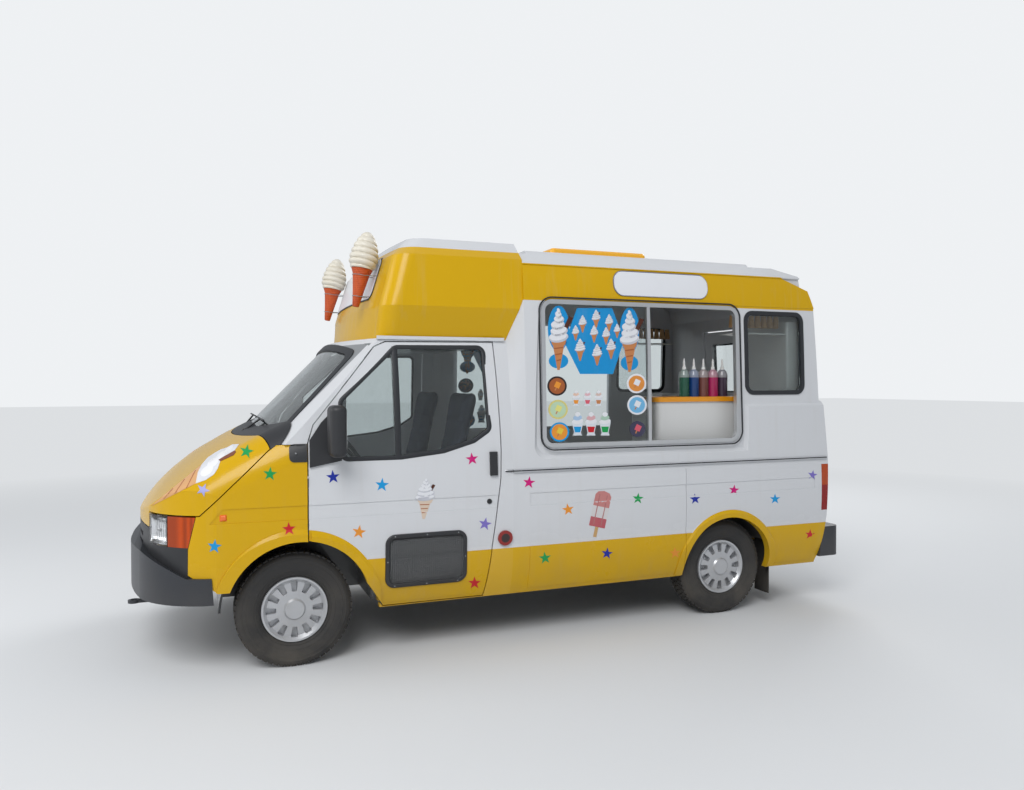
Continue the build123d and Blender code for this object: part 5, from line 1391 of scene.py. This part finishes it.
wing_tree = surface("wings")
for side, hand in ((-1, "left"), (1, "right")):
    x = front_axle_x - 0.371
    pillow("side_lamp_" + hand, 12, 12, on_side(wing_tree, side, x - 0.018, x + 0.018, 0.840, 0.874), 0.009,
           "body",
           side_amber, 3)

lock_line = [(0.0004, 0.0035), (0.0035, 0.0035), (0.0042, 0.0020), (0.0078, 0.0020), (0.0086, 0.0050),
             (0.0120, 0.0062),
             (0.0150, 0.0050), (0.0158, 0.0000), (0.0158, -0.0010), (0.0004, -0.0010)]
for side, body in ((-1, "door_left"), (1, "door_right")):
    depth = depth_at(cab_panel_curve, 0.866)
    line = [(radius, side * (depth + proud)) for radius, proud in lock_line]
    turned_piece("lock_" + body, line, (front_axle_x + 1.118, 0, 0.866), body, black_plastic, 32, 30)


for side, body in ((-1, "door_left"), (1, "door_right")):
    grid = []
    for row in range(13):
        line = []
        for column in range(17):
            over = 0.043 * math.sin(math.pi / 2 * (column / 8 - 1))
            past = max(0.0, abs(over) - 0.018)
            reach = 0.112 - 0.025 + math.sqrt(max(0.0, 0.025 ** 2 - past ** 2))
            line.append((-1.2128 - 0.0015 * (over / 0.043) ** 2, side * (1.072 + over),
                         1.316 + reach * (row / 6 - 1)))
        grid.append(line)
    sheet("mirror_glass_" + body, grid, (-0.0030, 0, 0), body, mirror_silver, 50)

plate = surface("rear_door")


def plate_place(u, v):
    start = Vector((3.0, -0.31 + 0.52 * u, 0.640 + 0.111 * v))
    return plate.ray_cast(start, Vector((-1, 0, 0)))[0], Vector((1, 0, 0))


pillow("rear_plate", 10, 40, plate_place, 0.0022, "rear_door", plate_yellow, 1)
print("lamps, locks and plate fitted")

# %% [markdown]
# The large trims need their small neighbours: a dark rubber line outside the serving window's
# aluminium frame, a blue-grey rim round each blank name plate, and screws along the belt.

# %% Rubber lines, plate rims and belt screws
upper_curve = side_curve("upper_body", front_axle_x + 1.42, 1.10, 2.30, 60)
serving = [(front_axle_x + x, z) for x, z in ((1.472, 1.170), (2.930, 1.170), (2.930, 2.085), (1.472, 2.085))]
serving_line = rounded(serving, 0.075, 10)
outer_seal = [(0.0092, -0.001), (0.0092, 0.007), (0.0110, 0.009), (0.0150, 0.009), (0.0172, 0.006),
              (0.0172, -0.001)]
name_corners = [(front_axle_x + x, z) for x, z in ((1.982, 2.126), (2.689, 2.126), (2.689, 2.286),
                                                   (1.982, 2.286))]
name_line = rounded(name_corners, 0.068, 10)
plate_rim = [(-0.006, -0.001), (-0.006, 0.0065), (-0.002, 0.0085), (0.002, 0.0065), (0.002, -0.001)]
rim_blue = grained("rim_blue", (0.10, 0.12, 0.19), 0.4, 0, 200, 0.2, 0.1, 0.0)
for side, hand in ((-1, "left"), (1, "right")):
    bead("serving_seal_" + hand, serving_line, upper_curve, outer_seal, side, "body", seal_rubber, 40)
    bead("name_rim_" + hand, name_line, upper_curve, plate_rim, side, "body", rim_blue, 40)
belt_tree = surface("aluminium_trim")
belt_screws = []
for side in (-1, 1):
    for step in range(8):
        x = front_axle_x + 1.32 + step * 0.32
        place = belt_tree.ray_cast(Vector((x, side * 2, 1.0425)), Vector((0, -side, 0)))[0]
        if place is not None and abs(place.y) > 0.9:
            belt_screws.append((x, place.y, 1.0425))
print("belt screws:", len(belt_screws))

# %% [markdown]
# The seats are soft, so they are not left as blocks. Each pad starts as a slightly small closed
# form, is remeshed evenly, and is inflated by the cloth solver with gravity off. A cap keeps every
# point near its start, and the sewn channels are pressed in afterwards.


# %% Padded seats
def pad(name, size, cap=0.020):
    """An inflated pad around the origin, as a mesh."""
    shapes = bmesh.new()
    bmesh.ops.create_cube(shapes, size=1.0)
    bmesh.ops.scale(shapes, verts=shapes.verts[:], vec=size)
    bmesh.ops.bevel(shapes, geom=shapes.edges[:], offset=0.030, segments=3, affect="EDGES", profile=0.6)
    mesh = bpy.data.meshes.new(name)
    shapes.to_mesh(mesh)
    shapes.free()
    holder = bpy.data.objects.new(name, mesh)
    scene.collection.objects.link(holder)
    even = holder.modifiers.new("even", "REMESH")
    even.mode = "VOXEL"
    even.voxel_size = 0.012
    graph = bpy.context.evaluated_depsgraph_get()
    mesh = bpy.data.meshes.new_from_object(holder.evaluated_get(graph))
    holder.modifiers.clear()
    holder.data = mesh
    start = [vertex.co.copy() for vertex in mesh.vertices]
    cloth = holder.modifiers.new("cloth", "CLOTH")
    cloth.settings.use_pressure = True
    cloth.settings.uniform_pressure_force = 4.0
    cloth.settings.effector_weights.gravity = 0.0
    cloth.settings.quality = 5
    for frame_number in range(1, 21):
        scene.frame_set(frame_number)
    graph = bpy.context.evaluated_depsgraph_get()
    mesh = bpy.data.meshes.new_from_object(holder.evaluated_get(graph))
    scene.frame_set(1)
    bpy.data.objects.remove(holder)
    for vertex, before in zip(mesh.vertices, start):
        move = vertex.co - before
        if move.length > cap:
            vertex.co = before + move * (cap / move.length)
    return mesh


def channels(mesh, axis, places, deep, reach=0.012):
    """Press sewn channels across a pad at places along one axis."""
    for vertex in mesh.vertices:
        for place in places:
            away = abs(vertex.co[axis] - place)
            if away < reach:
                vertex.co.z -= math.copysign(deep * (1 - away / reach) ** 2, vertex.co.z)


cushion = pad("seat_cushion", (0.44, 0.45, 0.075))
channels(cushion, 0, (-0.13, -0.045, 0.04, 0.125), 0.006)
channels(cushion, 1, (-0.165, 0.165), 0.007)
backrest = pad("seat_back", (0.60, 0.43, 0.050))
channels(backrest, 0, (-0.20, -0.10, 0.0, 0.10), 0.005)
channels(backrest, 1, (-0.155, 0.155), 0.006)
print("pads:", len(cushion.polygons), "and", len(backrest.polygons), "faces")

lean = math.atan2(0.14, 0.66)
for side, hand in ((-1, "left"), (1, "right")):
    low = Matrix.Translation((front_axle_x + 0.80, side * 0.43, 0.843))
    high = Matrix.Translation((front_axle_x + 1.070, side * 0.43,
                               1.228)) @ Matrix.Rotation(lean - math.pi / 2, 4, "Y")
    for label, source, place in (("cushion", cushion, low), ("back", backrest, high)):
        mesh = source.copy()
        mesh.transform(place)
        soft = finished_piece(f"seat_{label}_{hand}", mesh, "body", seat_cloth, 80)
        smoother = soft.modifiers.new("smoother", "SUBSURF")
        smoother.levels = smoother.render_levels = 1
        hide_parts("seats")
    plinth = bmesh.new()
    bmesh.ops.create_cube(plinth, size=1.0)
    bmesh.ops.scale(plinth, verts=plinth.verts[:], vec=(0.36, 0.38, 0.258))
    bmesh.ops.translate(plinth, verts=plinth.verts[:], vec=(front_axle_x + 0.80, side * 0.43, 0.6505))
    bmesh.ops.bevel(plinth, geom=plinth.edges[:], offset=0.018, segments=3, affect="EDGES")
    inset_faces = [face for face in plinth.faces if face.calc_area() > 0.05 and abs(face.normal.z) < 0.5]
    bmesh.ops.inset_individual(plinth, faces=inset_faces, thickness=0.03, depth=-0.006)
    mesh = bpy.data.meshes.new("seat_plinth_" + hand)
    plinth.to_mesh(mesh)
    plinth.free()
    base = finished_piece("seat_plinth_" + hand, mesh, "body", black_plastic, 30)
    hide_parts("seats")

# %% [markdown]
# Behind the rear windows a shelf hangs below the roof, with stacks of cone sleeves lying in a row.
# The tree below makes one sleeve and sets a row of them along a line of points.

# %% Shelf and cone sleeves
sleeve_tree, given = geometry_tree("cone_sleeves", [
    ("Wide", NUMBER, 0.024), ("Narrow", NUMBER, 0.017), ("Long", NUMBER, 0.085)])
sleeve = step_of(sleeve_tree, "GeometryNodeMeshCone", {
    "Vertices": 20, "Side Segments": 3, "Radius Top": given["Narrow"], "Radius Bottom": given["Wide"],
    "Depth": given["Long"]})
row = step_of(sleeve_tree, "GeometryNodeInstanceOnPoints", {
    "Points": given["Geometry"], "Instance": sleeve.outputs[0]})
finish_tree(sleeve_tree, given, row.outputs[0])
sleeve_paper = grained("sleeve_paper", (0.56, 0.34, 0.16), 0.7, 0, 260, 0.5, 0.3, 0.0)
for side, hand in ((-1, "left"), (1, "right")):
    seed_mesh = bpy.data.meshes.new("cone_sleeves_" + hand)
    seed_mesh.from_pydata([(front_axle_x + 3.02 + step * 0.054, side * 0.72, 1.957) for step in range(8)],
                          [], [])
    grown = grow(sleeve_tree, seed_mesh, Finish=sleeve_paper)
    finished_piece("cone_sleeves_" + hand, grown, "body", None, 30)
    grid = [[(front_axle_x + 2.98 + 0.42 * u / 8, side * (0.62 + 0.20 * v / 4),
              1.905 + 0.003 * (u % 2)) for u in range(9)]
            for v in range(5)]
    sheet("sleeve_shelf_" + hand, grid, (0, 0, 0.008), "body", moulded_white, 20)
print("sleeves on the shelf:", len(grown.polygons), "faces")
fasteners("belt_screws", belt_screws, "body", galvanised, 0.0028, 0.0015)

# %% [markdown]
# The two ornamental cones catch the eye first, so they get their own pass. The swirl is one form:
# a rounded envelope with a ridge that winds up it, deepest in the valleys as piped cream is.
# Each wafer is held to the luton by wire clamps.


# %% Ornamental cones
def stacked(name, rings, place, body, finish, smooth):
    """A form through rings of points, closed at both ends and put in place."""
    shapes = bmesh.new()
    layers = [[shapes.verts.new(place @ Vector(point)) for point in ring] for ring in rings]
    for low, high in zip(layers, layers[1:]):
        for index in range(len(low)):
            other = (index + 1) % len(low)
            shapes.faces.new([low[index], low[other], high[other], high[index]])
    for ring in (layers[0], layers[-1]):
        shapes.faces.new(ring)
    bmesh.ops.recalc_face_normals(shapes, faces=shapes.faces[:])
    mesh = bpy.data.meshes.new(name)
    shapes.to_mesh(mesh)
    shapes.free()
    return finished_piece(name, mesh, body, finish, smooth)


def between(table, place):
    """A value from a table of (place, value), smoothly between its rows."""
    for (low, first), (high, second) in zip(table, table[1:]):
        if place <= high:
            share = (place - low) / (high - low)
            return first + (second - first) * share
    return table[-1][1]


swirl_envelope = [(0.0, 0.070), (0.06, 0.080), (0.18, 0.0885), (0.34, 0.0875), (0.5, 0.0810), (0.66, 0.0700),
                  (0.80, 0.0550),
                  (0.90, 0.0400), (0.96, 0.0260), (0.99, 0.0130), (1.0, 0.0040)]
swirl_high = 0.229
wafer_line = [(0.0, 0.016), (0.004, 0.020), (0.10, 0.0345), (0.20, 0.0515), (0.214, 0.0575), (0.229, 0.0640),
              (0.232, 0.0630)]
foot_z = 2.031
around = 72
for side, hand in ((-1, "left"), (1, "right")):
    lean = Matrix.Rotation(math.radians(10), 4, "Y")
    foot = Matrix.Translation((front_axle_x + 0.400, side * 0.567, foot_z)) @ lean
    rings = []
    for step in range(121):
        share = step / 120
        ring = []
        for index in range(around):
            angle = 2 * math.pi * index / around
            phase = share * 6.4 + index / around + 0.16 * math.sin(angle)
            ridge = math.sqrt(abs(math.sin(math.pi * phase)))
            radius = between(swirl_envelope, share) * (0.84 + 0.16 * ridge)
            ring.append((radius * math.cos(angle), radius * math.sin(angle), 0.2325 + swirl_high * share))
        rings.append(ring)
    swirl = stacked("cone_swirl_" + hand, rings, foot, "body", cream, 60)
    rings = [[(radius * math.cos(2 * math.pi * index / 48), radius * math.sin(2 * math.pi * index / 48), high)
              for index in range(48)] for high, radius in wafer_line]
    cone = stacked("cone_wafer_" + hand, rings, foot, "body", wafer, 40)
    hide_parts("cone_swirls")
    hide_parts("cone_wafers")
    for label, high in (("high", 0.190), ("low", 0.062)):
        radius = between(wafer_line, high) + 0.0015
        points = [foot @ Vector((radius * math.cos(a), radius * math.sin(a), high))
                  for a in [math.radians(-100 + 200 * step / 24 + 180) for step in range(25)]]
        for end in (0, -1):
            start = points[end]
            wall = skins["body"].ray_cast(Vector((-1.3, start.y, start.z)), Vector((1, 0, 0)))[0]
            outward = 1 if end else -1
            wall_end = Vector((wall.x + 0.003, start.y + 0.012 * outward, start.z))
            points.insert(0 if end == 0 else len(points), wall_end)
        line = bpy.data.curves.new(f"cone_wire_{label}_{hand}", "CURVE")
        line.dimensions = "3D"
        line.bevel_depth = 0.0022
        line.bevel_resolution = 2
        spline = line.splines.new("POLY")
        spline.points.add(len(points) - 1)
        for knot, point in zip(spline.points, points):
            knot.co = (*point, 1)
        holder = bpy.data.objects.new("holder", line)
        scene.collection.objects.link(holder)
        line.use_fill_caps = True
        mesh = bpy.data.meshes.new_from_object(holder.evaluated_get(bpy.context.evaluated_depsgraph_get()))
        bpy.data.objects.remove(holder)
        finished_piece(f"cone_clamp_{label}_{hand}", mesh, "body", galvanised, 50)
print("cones dressed:", len(swirl.data.polygons), "faces in a swirl")

# %% Blank sign across the luton's front, wing corner caps, belt ends
sign_edge = grained("sign_edge", (0.016, 0.016, 0.018), 0.45, 0, 300, 0.3, 0.2, 0.0)


def sign_grid(half_wide, low, high, corner, proud):
    """A grid over the luton's front inside a rounded rectangle."""
    middle, half_high = (low + high) / 2, (high - low) / 2
    grid = []
    for row in range(13):
        line = []
        for column in range(61):
            over = half_wide * math.sin(math.pi / 2 * (column / 30 - 1))
            past = max(0.0, abs(over) - (half_wide - corner))
            reach = half_high - corner + math.sqrt(max(0.0, corner * corner - past * past))
            height = middle + reach * (row / 6 - 1)
            face = skins["body"].ray_cast(Vector((-2, over, height)), Vector((1, 0, 0)))[0]
            line.append((face.x - proud, over, height))
        grid.append(line)
    return grid


sheet("luton_sign_edge", sign_grid(0.606, 2.074, 2.336, 0.050, 0.0045), (0.0040, 0, 0), "body", sign_edge, 50)
sheet("luton_sign", sign_grid(0.597, 2.083, 2.327, 0.042, 0.0060), (0.0020, 0, 0), "body", sign_white, 50)

cap_tree = surface("wings", "cab_frame", "lower_body", "upper_body")
for side, hand in ((-1, "left"), (1, "right")):
    grid = []
    for row in range(15):
        line = []
        for column in range(15):
            along = 0.047 * math.sin(math.pi / 2 * (column / 7 - 1))
            past = max(0.0, -along - 0.021)
            reach = 0.049 - 0.026 + math.sqrt(max(0.0, 0.026 ** 2 - past ** 2))
            height = 1.189 + reach * (row / 7 - 1)
            face = cap_tree.ray_cast(Vector((-1.450 + along, side * 2, height)), Vector((0, -side, 0)))[0]
            line.append((face.x, face.y + side * 0.0045, height))
        grid.append(line)
    sheet("wing_cap_" + hand, grid, (0, -side * 0.0042, 0), "body", black_plastic, 50)
    place = on_side(cap_tree, side, -0.244, -0.1935, 1.031, 1.049)
    pillow("belt_end_" + hand, 12, 10, place, 0.009, "body", aluminium, 3)
fasteners("cap_screws", [(-1.463, -0.9535, 1.188), (-1.463, 0.9535, 1.188)], "body", galvanised, 0.005, 0.002)
print("sign, caps and belt ends fitted")

# %% [markdown]
# The rear door gets what every van's has: rubber round its window, a handle and a small lamp over
# the plate. Its face leans, so its depth is measured by rays as the sides were.

# %% Rear door's seal, handle and plate lamp
rear_tree = surface("rear_door")
rear_curve = []
for step in range(41):
    height = 0.60 + 1.36 * step / 40
    rear_curve.append((height, rear_tree.ray_cast(Vector((3, -0.3, height)), Vector((-1, 0, 0)))[0].x))
rear_window = rounded([(-0.270, 1.490), (0.270, 1.490), (0.270, 1.890), (-0.270, 1.890)], 0.020, 6)
rear_seal = [(-0.012, -0.010), (-0.012, 0.002), (-0.006, 0.006), (0.006, 0.006), (0.013, 0.003),
             (0.013, -0.001)]
seal = bead("rear_window_seal", rear_window, rear_curve, rear_seal, 1, "rear_door", seal_rubber, 40)
seal.data.transform(Matrix.Rotation(-math.pi / 2, 4, "Z"))


def on_rear(y0, y1, z0, z1):
    """Places on the rear door between two sides and two heights."""
    def point(u, v):
        start = Vector((3.0, y0 + (y1 - y0) * u, z0 + (z1 - z0) * v))
        return rear_tree.ray_cast(start, Vector((-1, 0, 0)))[0], Vector((1, 0, 0))
    return point


pillow("rear_handle_plate", 12, 16, on_rear(-0.335, -0.295, 1.075, 1.190), 0.004, "rear_door", black_plastic,
       3)
pillow("rear_handle", 10, 20, on_rear(-0.327, -0.303, 1.090, 1.178), 0.020, "rear_door", black_plastic, 4)
pillow("plate_lamp", 10, 16, on_rear(-0.095, -0.005, 0.765, 0.785), 0.014, "rear_door", black_plastic, 4)
print("rear door dressed")
